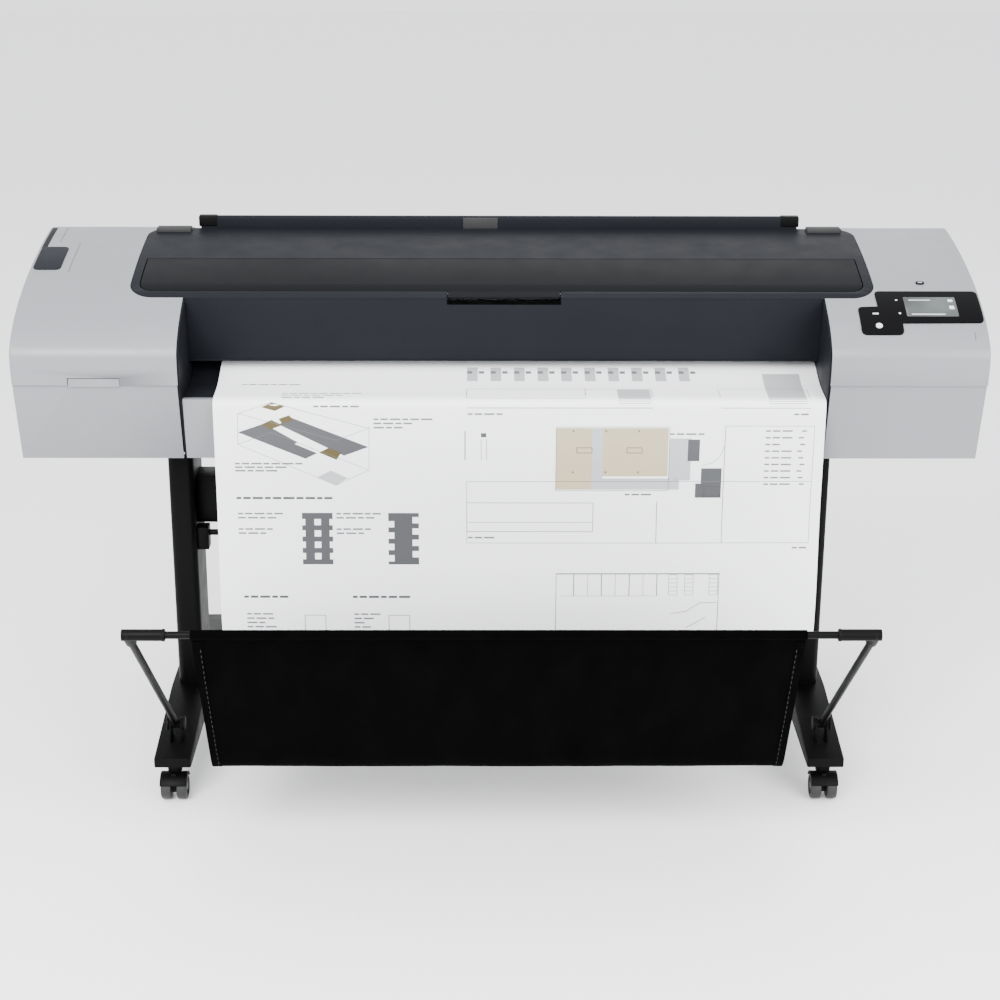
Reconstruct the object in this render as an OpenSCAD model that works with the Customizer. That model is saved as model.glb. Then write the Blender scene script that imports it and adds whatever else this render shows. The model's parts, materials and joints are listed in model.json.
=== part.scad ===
// Large format plotter on a wheeled stand with a media basket.
// Y runs from the front (low) to the back (high), Z is up, the floor is Z = 0.
// The lengths below are counted from the nose of the end covers; at_origin() moves
// everything so that the origin is the middle of the footprint.

/* [Body] */
// Overall width of the machine
body_w = 1768; // [1766:2:1800]
// Height of the underside of the body above the floor
body_bottom = 676; // [672:1:676]
// Depth of the body from nose to rear wall
body_depth = 604; // [603:1:610]
// Wall thickness of the plastic shells
skin = 3; // [2.6:0.1:3.2]
// Distance of the left inner wall from the middle
left_wall = 584; // [584:1:587]
// Distance of the right inner wall from the middle
right_wall = 598; // [598:1:602]
// Height of the seam between upper and lower covers
seam_z = 829; // [827:1:831]

/* [Window and frame] */
// Left edge of the dark frame, from the middle
frame_left = 686; // [680:1:690]
// Right edge of the dark frame, from the middle
frame_right = 694; // [690:1:696]
// Front edge of the dark frame
frame_front = 118; // [116:1:120]
// Gap round the window
window_gap = 2; // [1:0.5:3]
// Position of the window's hinge line
window_hinge_y = 265; // [255:1:275]

/* [Media] */
// Width of the media
media_w = 1118; // [900:1:1118]
// Right edge of the media, from the middle
media_right = 594; // [590:0.5:594]
// Radius of the full roll
roll_r = 56; // [35:1:56]
// Height of the hanging sheet's lower edge
sheet_end_z = 330; // [316:1:345]

/* [Stand] */
// Distance of the legs' middle from the machine's middle
leg_x = 623; // [615:1:640]
// Width of a leg
leg_w = 50; // [40:1:60]
// Depth of a leg, from front to back
leg_d = 130; // [100:1:140]
// Width of a foot
foot_w = 71; // [60:1:80]
// Height of the foot's underside
foot_z = 72; // [70:1:76]
// Radius of a caster wheel
wheel_r = 25; // [20:1:25]

/* [Basket] */
// Width of the basket's cloth
cloth_w = 1034; // [800:2:1100]
// How far the front rod lies in front of the nose
rod_front = 398; // [390:1:402]
// Height of the front rod
rod_z = 512; // [505:1:520]
// How far the rear rod lies behind the nose
rear_rod_y = 262; // [255:1:270]
// Height of the rear rod
rear_rod_z = 450; // [440:1:454]

/* [Hidden] */
$fn = 48;

silver = [0.80, 0.81, 0.83];
dark = [0.22, 0.23, 0.25];
black = [0.07, 0.07, 0.08];
steel = [0.62, 0.63, 0.65];

half_w = body_w / 2;
elbow_r = 10;
foot_rear = 696;
foot_front = -22;
origin_y = (foot_rear - rod_front - elbow_r) / 2;
tiny = 0.5;
long = 4000;

// Rear bay between the wings, where the roll lies
bay_left = -606;
bay_right = 614;
cheek_gap = 1;

// Carriage, rails and belt
rail_y = 296;
rail_low_z = 872;
rail_high_z = 932;
rail_r = 7;
rail_half = 863;
carriage_park_x = 730;
carriage_w = 160;
pulley_r = 10;
pulley_y = 322;
belt_z = 902;
belt_h = 8;
belt_t = 1.5;
drive_pulley_x = 835;
idler_pulley_x = -840;

// Media feed
feed_y = 330;
feed_z = 818;
feed_r = 12;
pinch_r = 6;
sheet_t = 0.5;
sheet_gap = 0.3;
pinch_z = feed_z + feed_r + 2 * sheet_gap + sheet_t + pinch_r;
gear_teeth = 54;
pinion_teeth = 18;
gear_x = 612;
gear_w = 8;
mesh_angle = -45;
mesh_distance = (gear_teeth + pinion_teeth) / 2 + 0.05;
pinion_y = feed_y + mesh_distance * cos(mesh_angle);
pinion_z = feed_z + mesh_distance * sin(mesh_angle);

// Roll and spindle
roll_y = 512;
roll_z = 935;
core_r = 25.4;
journal_r = 14;
roll_hinge_y = 594;
roll_hinge_z = 905;

// Ink
cartridge_pitch = 44;
cartridge_w = 36;
bay_x0 = -862;
bay_x1 = -594;
bay_front = 72;
bay_back = 300;
bay_z0 = 684;
bay_z1 = 822;
door_back = 60;
ink_hinge_y = 60;
ink_hinge_z = 684;

// Maintenance door in the right side
mdoor_y0 = 220;
mdoor_y1 = 400;
mdoor_z0 = 704;
mdoor_z1 = 800;
mdoor_hinge_x = half_w - skin;

// Stand and basket
foot_mid_x = 627.5;
foot_top = 130;
leg_y0 = 235;
leg_y1 = leg_y0 + leg_d;
stem_front_y = 8;
stem_rear_y = 650;
stem_r = 5.5;
trail = 12;
arm_x = 627;
arm_r = 6.75;
pivot_y = 45;
pivot_z = 135;
arm_angle = atan2(rod_z - pivot_z, -rod_front - pivot_y);
arm_len = norm([rod_z - pivot_z, -rod_front - pivot_y]);

// ---- outline of the body, seen from the side, as [y, z] points ----
nose = [2, 890];
ridge = [430, 1027];
function bez(a, b, c, d, t) =
  pow(1 - t, 3) * a + 3 * t * pow(1 - t, 2) * b + 3 * t * t * (1 - t) * c + pow(t, 3) * d;
function bez_dir(a, b, c, d, t) =
  pow(1 - t, 2) * (b - a) + 2 * t * (1 - t) * (c - b) + t * t * (d - c);
function unit(v) = v / norm(v);
function left_of(v) = [-v[1], v[0]];
top_a = nose;
top_b = [56, 974];
top_c = [303, 1016];
top_d = ridge;
back_b = [455, 1028];
back_c = [566, 1002];
back_d = [body_depth, 935];
function top_at(t, off) =
  bez(top_a, top_b, top_c, top_d, t) + off * left_of(unit(bez_dir(top_a, top_b, top_c, top_d, t)));
function back_at(t, off) =
  bez(top_d, back_b, back_c, back_d, t)
  + off * left_of(unit(bez_dir(top_d, back_b, back_c, back_d, t)));
top_steps = 28;
back_steps = 10;
function top_curve(off, t0 = 0, t1 = 1) =
  [for (i = [0:top_steps]) top_at(t0 + (t1 - t0) * i / top_steps, off)];
function back_curve(off) = [for (i = [1:back_steps]) back_at(i / back_steps, off)];
function reversed(p) = [for (i = [len(p) - 1:-1:0]) p[i]];

// The line of the lower front faces
lower_low = [48, body_bottom];
lower_high = [22, 797];
function lower_y(z) =
  lower_low[0] + (lower_high[0] - lower_low[0]) * (z - lower_low[1]) / (lower_high[1] - lower_low[1]);

// Parameter of the top curve at a given y, by halving
function t_for_y(y, off, lo = 0, hi = 1, n = 30) =
  let (mid = (lo + hi) / 2)
  n == 0 ? mid
  : top_at(mid, off)[0] < y ? t_for_y(y, off, mid, hi, n - 1)
  : t_for_y(y, off, lo, mid, n - 1);

// Hinge line of the window, inside the top skin
hinge_depth = -1.6;
window_hinge = top_at(t_for_y(window_hinge_y, hinge_depth), hinge_depth);

function foot_height(y) =
  y < leg_y0 ? 92 + (foot_top - 92) * (y - foot_front) / (leg_y0 - foot_front)
  : y > leg_y1 ? foot_top - (foot_top - 92) * (y - leg_y1) / (foot_rear - leg_y1)
  : foot_top;

module at_origin() {
  translate([0, -origin_y, 0]) children();
}

// A [y, z] outline made as long as x1 - x0
module along_x(x0, x1) {
  translate([x0, 0, 0])
    rotate([90, 0, 90])
      linear_extrude(height = x1 - x0) children();
}

module rod_x(x0, x1, y, z, r) {
  translate([x0, y, z]) rotate([0, 90, 0]) cylinder(h = x1 - x0, r = r);
}

module box(x0, x1, y0, y1, z0, z1) {
  translate([x0, y0, z0]) cube([x1 - x0, y1 - y0, z1 - z0]);
}

// Upright prism with rounded corners
module round_prism(x0, x1, y0, y1, z0, z1, r) {
  box(x0 + r, x1 - r, y0, y1, z0, z1);
  box(x0, x1, y0 + r, y1 - r, z0, z1);
  for (x = [x0 + r, x1 - r])
    for (y = [y0 + r, y1 - r])
      translate([x, y, z0]) cylinder(h = z1 - z0, r = r);
}

// Upright tube column section with rounded corners
module round_column(cx, cy, w, d, r, z0, z1) {
  round_prism(cx - w / 2, cx + w / 2, cy - d / 2, cy + d / 2, z0, z1, r);
}

// Band under or over the top skin, between two offsets
module top_band(off0, off1, t0 = 0, t1 = 1) {
  polygon(concat(top_curve(off0, t0, t1), reversed(top_curve(off1, t0, t1))));
}

// Involute gear, axis along X
function inv_deg(a) = tan(a) * 180 / PI - a;
function involute_point(rb, r, side, half) =
  let (a = acos(min(1, rb / r)), th = half - inv_deg(a))
  [r * cos(side * th), r * sin(side * th)];
module gear(teeth, phase, w, bore_r, backlash = 0.12) {
  r = teeth / 2;
  rb = r * cos(20);
  root = r - 1.25;
  tip = r + 0.95;
  half = 90 / teeth - backlash / r * 90 / PI + inv_deg(20);
  start = max(rb, root) + 0.001;
  flank = [for (i = [0:4]) start + (tip - start) * i / 4];
  tooth = concat(
    [[root * cos(half), -root * sin(half)]],
    [for (q = flank) involute_point(rb, q, -1, half)],
    [for (q = reversed(flank)) involute_point(rb, q, 1, half)],
    [[root * cos(half), root * sin(half)]]
  );
  difference() {
    rotate([90, 0, 90])
      linear_extrude(height = w)
        polygon([
          for (k = [0:teeth - 1])
            for (p = tooth)
              let (a = phase + k * 360 / teeth)
                [p[0] * cos(a) - p[1] * sin(a), p[0] * sin(a) + p[1] * cos(a)]
        ]);
    if (bore_r > 0) translate([-1, 0, 0]) rotate([0, 90, 0]) cylinder(h = w + 2, r = bore_r);
  }
}

// ---- chassis and mechanism ----
pan_t = 4;
pan_front = 72;
pan_back = 596;
pan_half = 876;
bearing_x = 604;
plate_z = 850;
frame_t = 3;
bearing_t = 4;
bearing_r = 5;
motor_plate_x = 664;

module chassis() {
  color(steel) at_origin() {
    difference() {
      union() {
        box(-pan_half, pan_half, pan_front, pan_back, body_bottom, body_bottom + pan_t);
        for (x = [-rail_half - frame_t, rail_half])
          along_x(x, x + frame_t)
            polygon([
              [310, body_bottom + 1], [588, body_bottom + 1], [588, 900], [520, 985],
              [430, 1010], [300, 990], [225, 965], [225, plate_z], [310, plate_z]
            ]);
        // bearing plates of the feed roller
        for (x = [-bearing_x, bearing_x])
          box(x, x + bearing_t, feed_y - 18, feed_y + 22, body_bottom + 1, plate_z);
        box(motor_plate_x, motor_plate_x + bearing_t, 325, 385, body_bottom + 1, 830);
        // shelves of the belt's motor and idler
        box(816, rail_half + 1, 300, 341, plate_z - 4, plate_z);
        box(-rail_half - 1, -815, 300, 341, 886, 890);
        translate([idler_pulley_x, pulley_y, 889]) cylinder(h = 21, r = 3);
      }
      rod_x(-bearing_x - 6, bearing_x + 16, feed_y, feed_z, bearing_r + 0.05);
      // way through the right end frame for the maintenance cartridge
      box(855, 875, 205, 410, body_bottom + pan_t, 802);
    }
  }
}

beam_y0 = 342;
beam_y1 = 400;
beam_z0 = 870;
beam_z1 = 950;
pinch_count = 11;
pinch_x0 = -490;
pinch_step = 105;
pinch_len = 44;

module main_beam() {
  color(steel) at_origin() {
    difference() {
      box(-rail_half, rail_half, beam_y0, beam_y1, beam_z0, beam_z1);
      box(-long, long, beam_y0 + 3, beam_y1 - 3, beam_z0 + 3, beam_z1 - 3);
    }
    difference() {
      for (k = [0:3])
        along_x(pinch_x0 - 55 + k * 3 * pinch_step, pinch_x0 - 47 + k * 3 * pinch_step)
          polygon([[323, 833.6], [336, 833.6], [352, 846], [362, beam_z0], [323, beam_z0]]);
      rod_x(-600, 600, feed_y, pinch_z, 3.05);
    }
  }
}

module carriage_rails() {
  color(steel) at_origin()
    for (z = [rail_low_z, rail_high_z])
      rod_x(-rail_half, rail_half, rail_y, z, rail_r);
}

car_x0 = carriage_park_x - carriage_w / 2;
car_x1 = carriage_park_x + carriage_w / 2;
head_w = 62;
head_step = 76;
head_x0 = car_x0 + 10;
head_y0 = 190;
head_z0 = 841;

module carriage() {
  color(dark) at_origin()
    difference() {
      along_x(car_x0, car_x1)
        polygon([
          [176, 838], [309, 838], [309, 948], [276, 958], [210, 946], [176, 930]
        ]);
      // pockets for the printheads, open above
      for (k = [0:1])
        box(
          head_x0 + k * head_step, head_x0 + k * head_step + head_w, head_y0, head_y0 + 80,
          head_z0, 990
        );
      for (z = [rail_low_z, rail_high_z])
        rod_x(-long, long, rail_y, z, rail_r + 0.06);
    }
}

module printheads() {
  color([0.15, 0.3, 0.6]) at_origin()
    for (k = [0:1])
      translate([head_x0 + k * head_step, head_y0, head_z0]) {
        translate([0.5, 0.5, 0]) cube([head_w - 1, 79, 86]);
        for (j = [0:3])
          translate([4 + j * 14.5, 12, 86]) cube([10, 56, 8]);
      }
}

belt_gap = 0.2;
// Long oval block round both pulleys
module belt_oval(r, h) {
  span = drive_pulley_x - idler_pulley_x;
  translate([idler_pulley_x, pulley_y, belt_z - h / 2]) {
    cylinder(h = h, r = r);
    translate([0, -r, 0]) cube([span, 2 * r, h]);
    translate([span, 0, 0]) cylinder(h = h, r = r);
  }
}

module carriage_belt() {
  color(black) at_origin()
    difference() {
      belt_oval(pulley_r + belt_gap + belt_t, belt_h);
      belt_oval(pulley_r + belt_gap, belt_h + 2);
    }
}

module pulley(x, z_low, bore_r) {
  difference() {
    union() {
      translate([x, pulley_y, belt_z - 5]) cylinder(h = 10, r = pulley_r);
      if (bore_r == 0) translate([x, pulley_y, z_low]) cylinder(h = belt_z - z_low, r = 3);
    }
    if (bore_r > 0) translate([x, pulley_y, belt_z - 10]) cylinder(h = 20, r = bore_r);
  }
}

module drive_pulley() {
  color(steel) at_origin() pulley(drive_pulley_x, 882, 0);
}

module idler_pulley() {
  color(steel) at_origin() pulley(idler_pulley_x, 0, 3.05);
}

motor_r = 17;
module drive_motors() {
  color(black) at_origin() {
    // belt motor, below its pulley
    difference() {
      translate([drive_pulley_x, pulley_y, 850]) cylinder(h = 38, r = motor_r);
      translate([drive_pulley_x, pulley_y, 880]) cylinder(h = 20, r = 3.4);
    }
    // feed motor, beside its pinion
    difference() {
      rod_x(gear_x + gear_w + 2, motor_plate_x, pinion_y, pinion_z, motor_r);
      rod_x(gear_x, gear_x + gear_w + 22, pinion_y, pinion_z, 3.4);
    }
  }
}

platen_front = 190;
platen_back = 314;
platen_top = 829.5;
module print_platen() {
  color(dark) at_origin()
    difference() {
      union() {
        box(-575, 594, platen_front, platen_back, 812, platen_top);
        for (x = [-570, -285, 0, 290, 585])
          box(x, x + 6, 200, 304, body_bottom + pan_t, 813);
      }
      // vacuum slots
      for (k = [0:21])
        box(-545 + k * 51, -520 + k * 51, 238, 246, 822, 835);
      // groove for borderless ink overspray
      box(-560, 592, 268, 274, 824, 835);
    }
}

shelf_t = 4;
module output_shelf() {
  color(dark) at_origin()
    along_x(-580.5, 594.5)
      polygon([
        [37, 797 - shelf_t], [37, 797], [120, 797], [150, 802], [platen_front - 1, 822],
        [platen_front - 1, 822 - shelf_t], [151, 802 - shelf_t], [121, 797 - shelf_t]
      ]);
}

module drive_roller() {
  color(steel) at_origin() {
    rod_x(-570, 594, feed_y, feed_z, feed_r);
    rod_x(-600, -569, feed_y, feed_z, bearing_r);
    rod_x(593, gear_x + gear_w, feed_y, feed_z, bearing_r);
  }
}

module feed_gear() {
  color([0.9, 0.9, 0.85]) at_origin()
    translate([gear_x, feed_y, feed_z])
      gear(gear_teeth, mesh_angle, gear_w, bearing_r);
}

module feed_pinion() {
  color([0.8, 0.7, 0.4]) at_origin() {
    translate([gear_x, pinion_y, pinion_z])
      gear(pinion_teeth, mesh_angle + 180 + 180 / pinion_teeth, gear_w, 0);
    rod_x(gear_x + gear_w, gear_x + gear_w + 20, pinion_y, pinion_z, 3);
  }
}

module pinch_rollers() {
  color(black) at_origin() {
    rod_x(-570, 590, feed_y, pinch_z, 3);
    for (k = [0:pinch_count - 1])
      rod_x(
        pinch_x0 - pinch_len / 2 + k * pinch_step, pinch_x0 + pinch_len / 2 + k * pinch_step,
        feed_y, pinch_z, pinch_r
      );
  }
}

module service_station() {
  color(dark) at_origin()
    difference() {
      union() {
        box(650, 812, 176, 286, 800, 834);
        box(650, 692, 176, 286, body_bottom + pan_t, 801);
      }
      for (k = [0:1])
        box(664 + k * 76, 726 + k * 76, 190, 272, 822, 840);
    }
}

// ---- ink ----
module ink_bay() {
  color(black) at_origin() {
    difference() {
      box(bay_x0, bay_x1, bay_front, bay_back, bay_z0, bay_z1);
      for (k = [0:5])
        box(
          bay_x0 + 5 + k * cartridge_pitch, bay_x0 + 7 + k * cartridge_pitch + cartridge_w,
          bay_front - 1, bay_back - 8, 692, 815
        );
    }
    box(bay_x0, bay_x1, bay_front, bay_back, body_bottom + pan_t, bay_z0);
    // ears that hold the ink door's pins
    for (x = [bay_x0 - 12, bay_x1 - 6])
      difference() {
        union() {
          rod_x(x, x + 8, ink_hinge_y, ink_hinge_z, 6);
          box(x, x + 8, ink_hinge_y, bay_front + 8, ink_hinge_z - 4, ink_hinge_z + 6);
          box(x, bay_x0 + 1 > x + 8 ? bay_x0 + 1 : x + 8, bay_front, bay_front + 8,
            ink_hinge_z - 4, ink_hinge_z + 6);
        }
        rod_x(x - 1, x + 9, ink_hinge_y, ink_hinge_z, 2.56);
      }
  }
}

ink_colours = [
  [0.1, 0.1, 0.1], [0.75, 0.15, 0.35], [0.95, 0.85, 0.2], [0.1, 0.45, 0.7], [0.45, 0.45, 0.47],
  [0.12, 0.12, 0.14]
];
module ink_cartridge(k) {
  x0 = bay_x0 + 6 + k * cartridge_pitch;
  color(ink_colours[k]) at_origin()
    union() {
      box(x0, x0 + cartridge_w, 70, 288, 693, 813);
      box(x0 + 6, x0 + cartridge_w - 6, 67, 71, 712, 796);
      // grip on the front
      box(x0 + 9, x0 + cartridge_w - 9, 54, 68, 750, 756);
    }
}

module ink_cartridge_1() { ink_cartridge(0); }
module ink_cartridge_2() { ink_cartridge(1); }
module ink_cartridge_3() { ink_cartridge(2); }
module ink_cartridge_4() { ink_cartridge(3); }
module ink_cartridge_5() { ink_cartridge(4); }
module ink_cartridge_6() { ink_cartridge(5); }

module maintenance_cartridge() {
  color(black) at_origin()
    union() {
      box(700, 874, 226, 394, body_bottom + pan_t, 796);
      box(873, 879, 290, 330, 742, 748);
    }
}

module maintenance_door() {
  color(silver) at_origin() {
    box(mdoor_hinge_x, half_w, mdoor_y0 + tiny, mdoor_y1 - tiny, mdoor_z0, mdoor_z1 - tiny);
    translate([mdoor_hinge_x, mdoor_y0 + tiny, mdoor_z0]) rotate([-90, 0, 0])
      cylinder(h = mdoor_y1 - mdoor_y0 - 2 * tiny, r = skin);
    translate([mdoor_hinge_x, mdoor_y0 - 6, mdoor_z0]) rotate([-90, 0, 0])
      cylinder(h = mdoor_y1 - mdoor_y0 + 12, r = 1.5);
  }
}

// ---- covers ----
// Solid side outline of a wing, moved inwards by the given distance
module wing_outline(in) {
  polygon(concat(
    [[door_back + 2, body_bottom - (in > 0 ? 10 : 0)], [door_back + 2, seam_z + in]],
    [[3 + in, seam_z + in], [0 + in, 860], [0.4 + in, 880]],
    top_curve(-in),
    back_curve(-in),
    [[body_depth - in, body_bottom - (in > 0 ? 10 : 0)]]
  ));
}

module frame_cut(grow) {
  round_prism(
    -frame_left - grow, frame_right + grow, frame_front - grow, ridge[0] + grow, 900, 1100, 45
  );
}

// x_out is the outer face, x_in the open inner side, in order of rising x
module wing(x0, x1, x_rear0, x_rear1, wall_x0, cheek_x0) {
  difference() {
    union() {
      difference() {
        along_x(x0, x1) wing_outline(0);
        along_x(x0 - 1, x1 + 1) wing_outline(skin);
      }
      along_x(wall_x0, wall_x0 + skin) wing_outline(0);
    }
    frame_cut(tiny);
    // behind the frame the wing stops at the roll bay
    box(x_rear0, x_rear1, ridge[0] - 1, body_depth + 1, 600, 1100);
  }
  // cheek that closes the roll bay
  along_x(cheek_x0, cheek_x0 + skin)
    polygon(concat(
      [[ridge[0] + 2, 700], [ridge[0] + 2, 1020]],
      [for (i = [2:back_steps]) back_at(i / back_steps, -2)],
      [[body_depth - 2, 700]]
    ));
  // boss for the roll cover's pin
  boss_x = cheek_x0 < 0 ? cheek_x0 - 8 : cheek_x0 + 1;
  box(boss_x, boss_x + 10, 584, body_depth - 1, 894, 916);
}

module wing_left() {
  color(silver) at_origin()
    difference() {
      wing(
        -half_w, -left_wall, bay_left - cheek_gap, -left_wall + 1, -half_w,
        bay_left - cheek_gap - skin
      );
      // room for the ink door's finger tab
      box(-783, -688, -5, 12, seam_z - 1, seam_z + 14);
      rod_x(bay_left - 9, bay_left + 5, roll_hinge_y, roll_hinge_z, 2.56);
    }
}

module wing_right() {
  color(silver) at_origin()
    difference() {
      union() {
        wing(
          right_wall, half_w, right_wall - 1, bay_right + cheek_gap, half_w - skin,
          bay_right + cheek_gap
        );
        // bosses for the maintenance door's pins
        for (y = [mdoor_y0 - 10, mdoor_y1])
          box(876, half_w - 1, y, y + 10, mdoor_z0 - 6, mdoor_z0 + 6);
      }
      box(half_w - 4, half_w + 1, mdoor_y0, mdoor_y1, mdoor_z0 - skin - tiny, mdoor_z1);
      translate([mdoor_hinge_x, mdoor_y0 - 8, mdoor_z0]) rotate([-90, 0, 0])
        cylinder(h = mdoor_y1 - mdoor_y0 + 16, r = 1.56);
      rod_x(bay_right - 5, bay_right + 9, roll_hinge_y, roll_hinge_z, 2.56);
      // hole for the power button
      button_shaft(6.3, -20, 20);
    }
}

// Lower front cover of a wing: front skin, top return and side returns
function face_y(z) = 8 + (lower_low[0] - 8) * (seam_z - 3 - z) / (seam_z - 3 - body_bottom);
module lower_cover(x0, x1) {
  top_z = seam_z - 1;
  difference() {
    along_x(x0, x1)
      polygon([
        [lower_low[0], body_bottom], [face_y(top_z), top_z], [door_back, top_z],
        [door_back, body_bottom]
      ]);
    along_x(x0 + skin, x1 - skin)
      polygon([
        [face_y(body_bottom - 5) + skin, body_bottom - 5], [face_y(top_z - skin) + skin, top_z - skin],
        [door_back + 1, top_z - skin], [door_back + 1, body_bottom - 5]
      ]);
  }
}

module ink_door() {
  color(silver) at_origin() {
    difference() {
      lower_cover(-half_w, -left_wall - 2);
      // the lower back corners would swing into the wing
      box(-half_w - 1, -left_wall, 51.2, door_back + 5, 600, 686);
    }
    // finger tab
    along_x(-782, -689)
      polygon([[4, seam_z - 3], [7.5, seam_z - 3], [8.5, seam_z + 12], [5, seam_z + 12]]);
    // hinge barrel with its pins, tied to the front skin
    rod_x(bay_x0 + 2, bay_x1 - 12, ink_hinge_y, ink_hinge_z, 4);
    rod_x(bay_x0 - 11, bay_x1 + 1, ink_hinge_y, ink_hinge_z, 2.5);
    for (x = [-840, -730, -622])
      along_x(x, x + 6)
        polygon([
          [lower_low[0] + 1.5, body_bottom + 2], [ink_hinge_y, ink_hinge_z - 4],
          [ink_hinge_y, ink_hinge_z + 3], [face_y(712) + 1.5, 712]
        ]);
  }
}

module right_lower_cover() {
  color(silver) at_origin() lower_cover(right_wall + 2, half_w);
}

wall_t = 3;
module inner_walls() {
  color(dark) at_origin()
    for (x = [-left_wall, right_wall - wall_t])
      along_x(x, x + wall_t)
        polygon(concat(
          [[150, body_bottom + pan_t + 1], [face_y(body_bottom + pan_t + 1) + 2, body_bottom + pan_t + 1]],
          [[face_y(seam_z - 4) + 2, seam_z - 4], [skin + 3.5, seam_z], [skin + 0.5, 860]],
          top_curve(-skin - 0.5, 0.02, 0.35),
          [[170, 955], [170, 700]]
        ));
}

tab_x0 = -97;
tab_x1 = 110;
win_x0 = -668;
win_x1 = 674;
win_y0 = 140;
barrel_r = 1.6;
module window_frame() {
  color(dark) at_origin()
    difference() {
      union() {
        intersection() {
          along_x(-frame_left, frame_right) top_band(0, -skin, 0.25, 1);
          round_prism(
            -frame_left + tiny, frame_right - tiny, frame_front + tiny, ridge[0], 900, 1100, 45
          );
        }
        // front face above the media slot
        along_x(-580.5, 594.5)
          polygon([[118.5, 960.5], [136, 840], [139, 840], [121.6, 961.5]]);
        // rear lip
        along_x(-600, 608)
          polygon([[ridge[0] - skin, 990], [ridge[0], 990], [ridge[0], 1025], [ridge[0] - skin, 1025]]);
        // ears under the skin for the window's pins
        for (x = [win_x0 - 8, win_x1 + 2])
          box(
            x, x + 6, window_hinge[0] - 5, window_hinge[0] + 5,
            window_hinge[1] - 8, window_hinge[1] - 0.9
          );
      }
      // opening for the window and for the handle's tab
      difference() {
        round_prism(
          win_x0 - window_gap, win_x1 + window_gap, win_y0 - window_gap, 400, 900, 1100, 27
        );
        box(-long, long, window_hinge[0] + barrel_r + tiny, 500, 900, 1200);
      }
      box(tab_x0 - 2, tab_x1 + 2, frame_front - 2, win_y0, 950, 1100);
      rod_x(win_x0 - 9, win_x1 + 9, window_hinge[0], window_hinge[1], 1.06);
    }
}

module window() {
  color([0.25, 0.26, 0.29]) at_origin() {
    intersection() {
      along_x(win_x0, win_x1) top_band(0, -skin, 0.25, 0.75);
      difference() {
        union() {
          round_prism(win_x0, win_x1, win_y0, 400, 900, 1100, 25);
          round_prism(tab_x0, tab_x1, frame_front + 3, win_y0 + 20, 900, 1100, 4);
        }
        box(-long, long, window_hinge[0] - 0.2, 500, 900, 1200);
      }
    }
    rod_x(win_x0, win_x1, window_hinge[0], window_hinge[1], barrel_r);
    rod_x(win_x0 - 6, win_x1 + 6, window_hinge[0], window_hinge[1], 1);
  }
}

module lower_front_panel() {
  color(silver) at_origin()
    along_x(-580.5, 594.5)
      polygon([
        lower_low, lower_high, [36, 797], [36, 793.5], [lower_high[0] + skin, 793.5],
        [lower_low[0] + skin - 0.3, body_bottom + skin], [pan_front - 1, body_bottom + skin],
        [pan_front - 1, body_bottom]
      ]);
}

// Hole in the rear cover, a little larger than the given block
module way_through(x, z, w, h) {
  box(x - tiny, x + w + tiny, 590, body_depth + 6, z - tiny, z + h + tiny);
}

module rear_cover() {
  color(silver) at_origin()
    difference() {
      box(bay_left + 1, bay_right - 1, body_depth - skin, body_depth, body_bottom, 897);
      // openings for the inlet, the switch and the ports
      way_through(inlet_x, inlet_z, inlet_w, inlet_h);
      way_through(switch_x - 10.5, 714.5, 21, 27);
      for (k = [0:1])
        way_through(port_x + k * port_step, port_z, port_w, port_h);
    }
}

cover_t = 3;
module roll_cover() {
  color(dark) at_origin() {
    along_x(bay_left + 1, bay_right - 1)
      polygon([
        [434, 1026], [446, 1024], [480, 1012.5], [520, 1005], [556, 991], [580, 968], [592, 940],
        [597, 910], [597, 905], [591, 905], [591, 908], [588.5, 938], [577, 966], [554, 988],
        [519, 1001.5], [479, 1009], [445, 1020.5], [434, 1022.5]
      ]);
    // raised lip along the top edge
    along_x(-588, 588)
      polygon([
        [432, 1025], [432, 1046], [436, 1050], [444, 1050], [449, 1046], [452, 1021],
        [449, 1021], [446, 1044], [436, 1044], [435.5, 1025]
      ]);
    // hand grip in the middle of the lip
    box(-72, -3, 431, 433, 1028, 1046);
    rod_x(bay_left + 1, bay_right - 1, roll_hinge_y, roll_hinge_z, 4);
    rod_x(bay_left - 6, bay_right + 6, roll_hinge_y, roll_hinge_z, 2.5);
  }
}

// ---- media ----
media_left = media_right - media_w;
flange_r = roll_r + 2;
flange_t = 5;
plug_len = 60;
plug_r = core_r - 0.1;
module spindle() {
  color(black) at_origin() {
    rod_x(bay_left + 2, bay_right - 2, roll_y, roll_z, journal_r);
    for (x = [media_left - 1 - flange_t, media_right + tiny])
      rod_x(x, x + flange_t, roll_y, roll_z, flange_r);
    rod_x(media_left - flange_t, media_left + plug_len, roll_y, roll_z, plug_r);
    rod_x(media_right - plug_len, media_right + flange_t, roll_y, roll_z, plug_r);
  }
}

module paper_roll() {
  color("white") at_origin()
    difference() {
      rod_x(media_left, media_right, roll_y, roll_z, roll_r);
      rod_x(media_left - 1, media_right + 1, roll_y, roll_z, core_r);
    }
}

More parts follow.
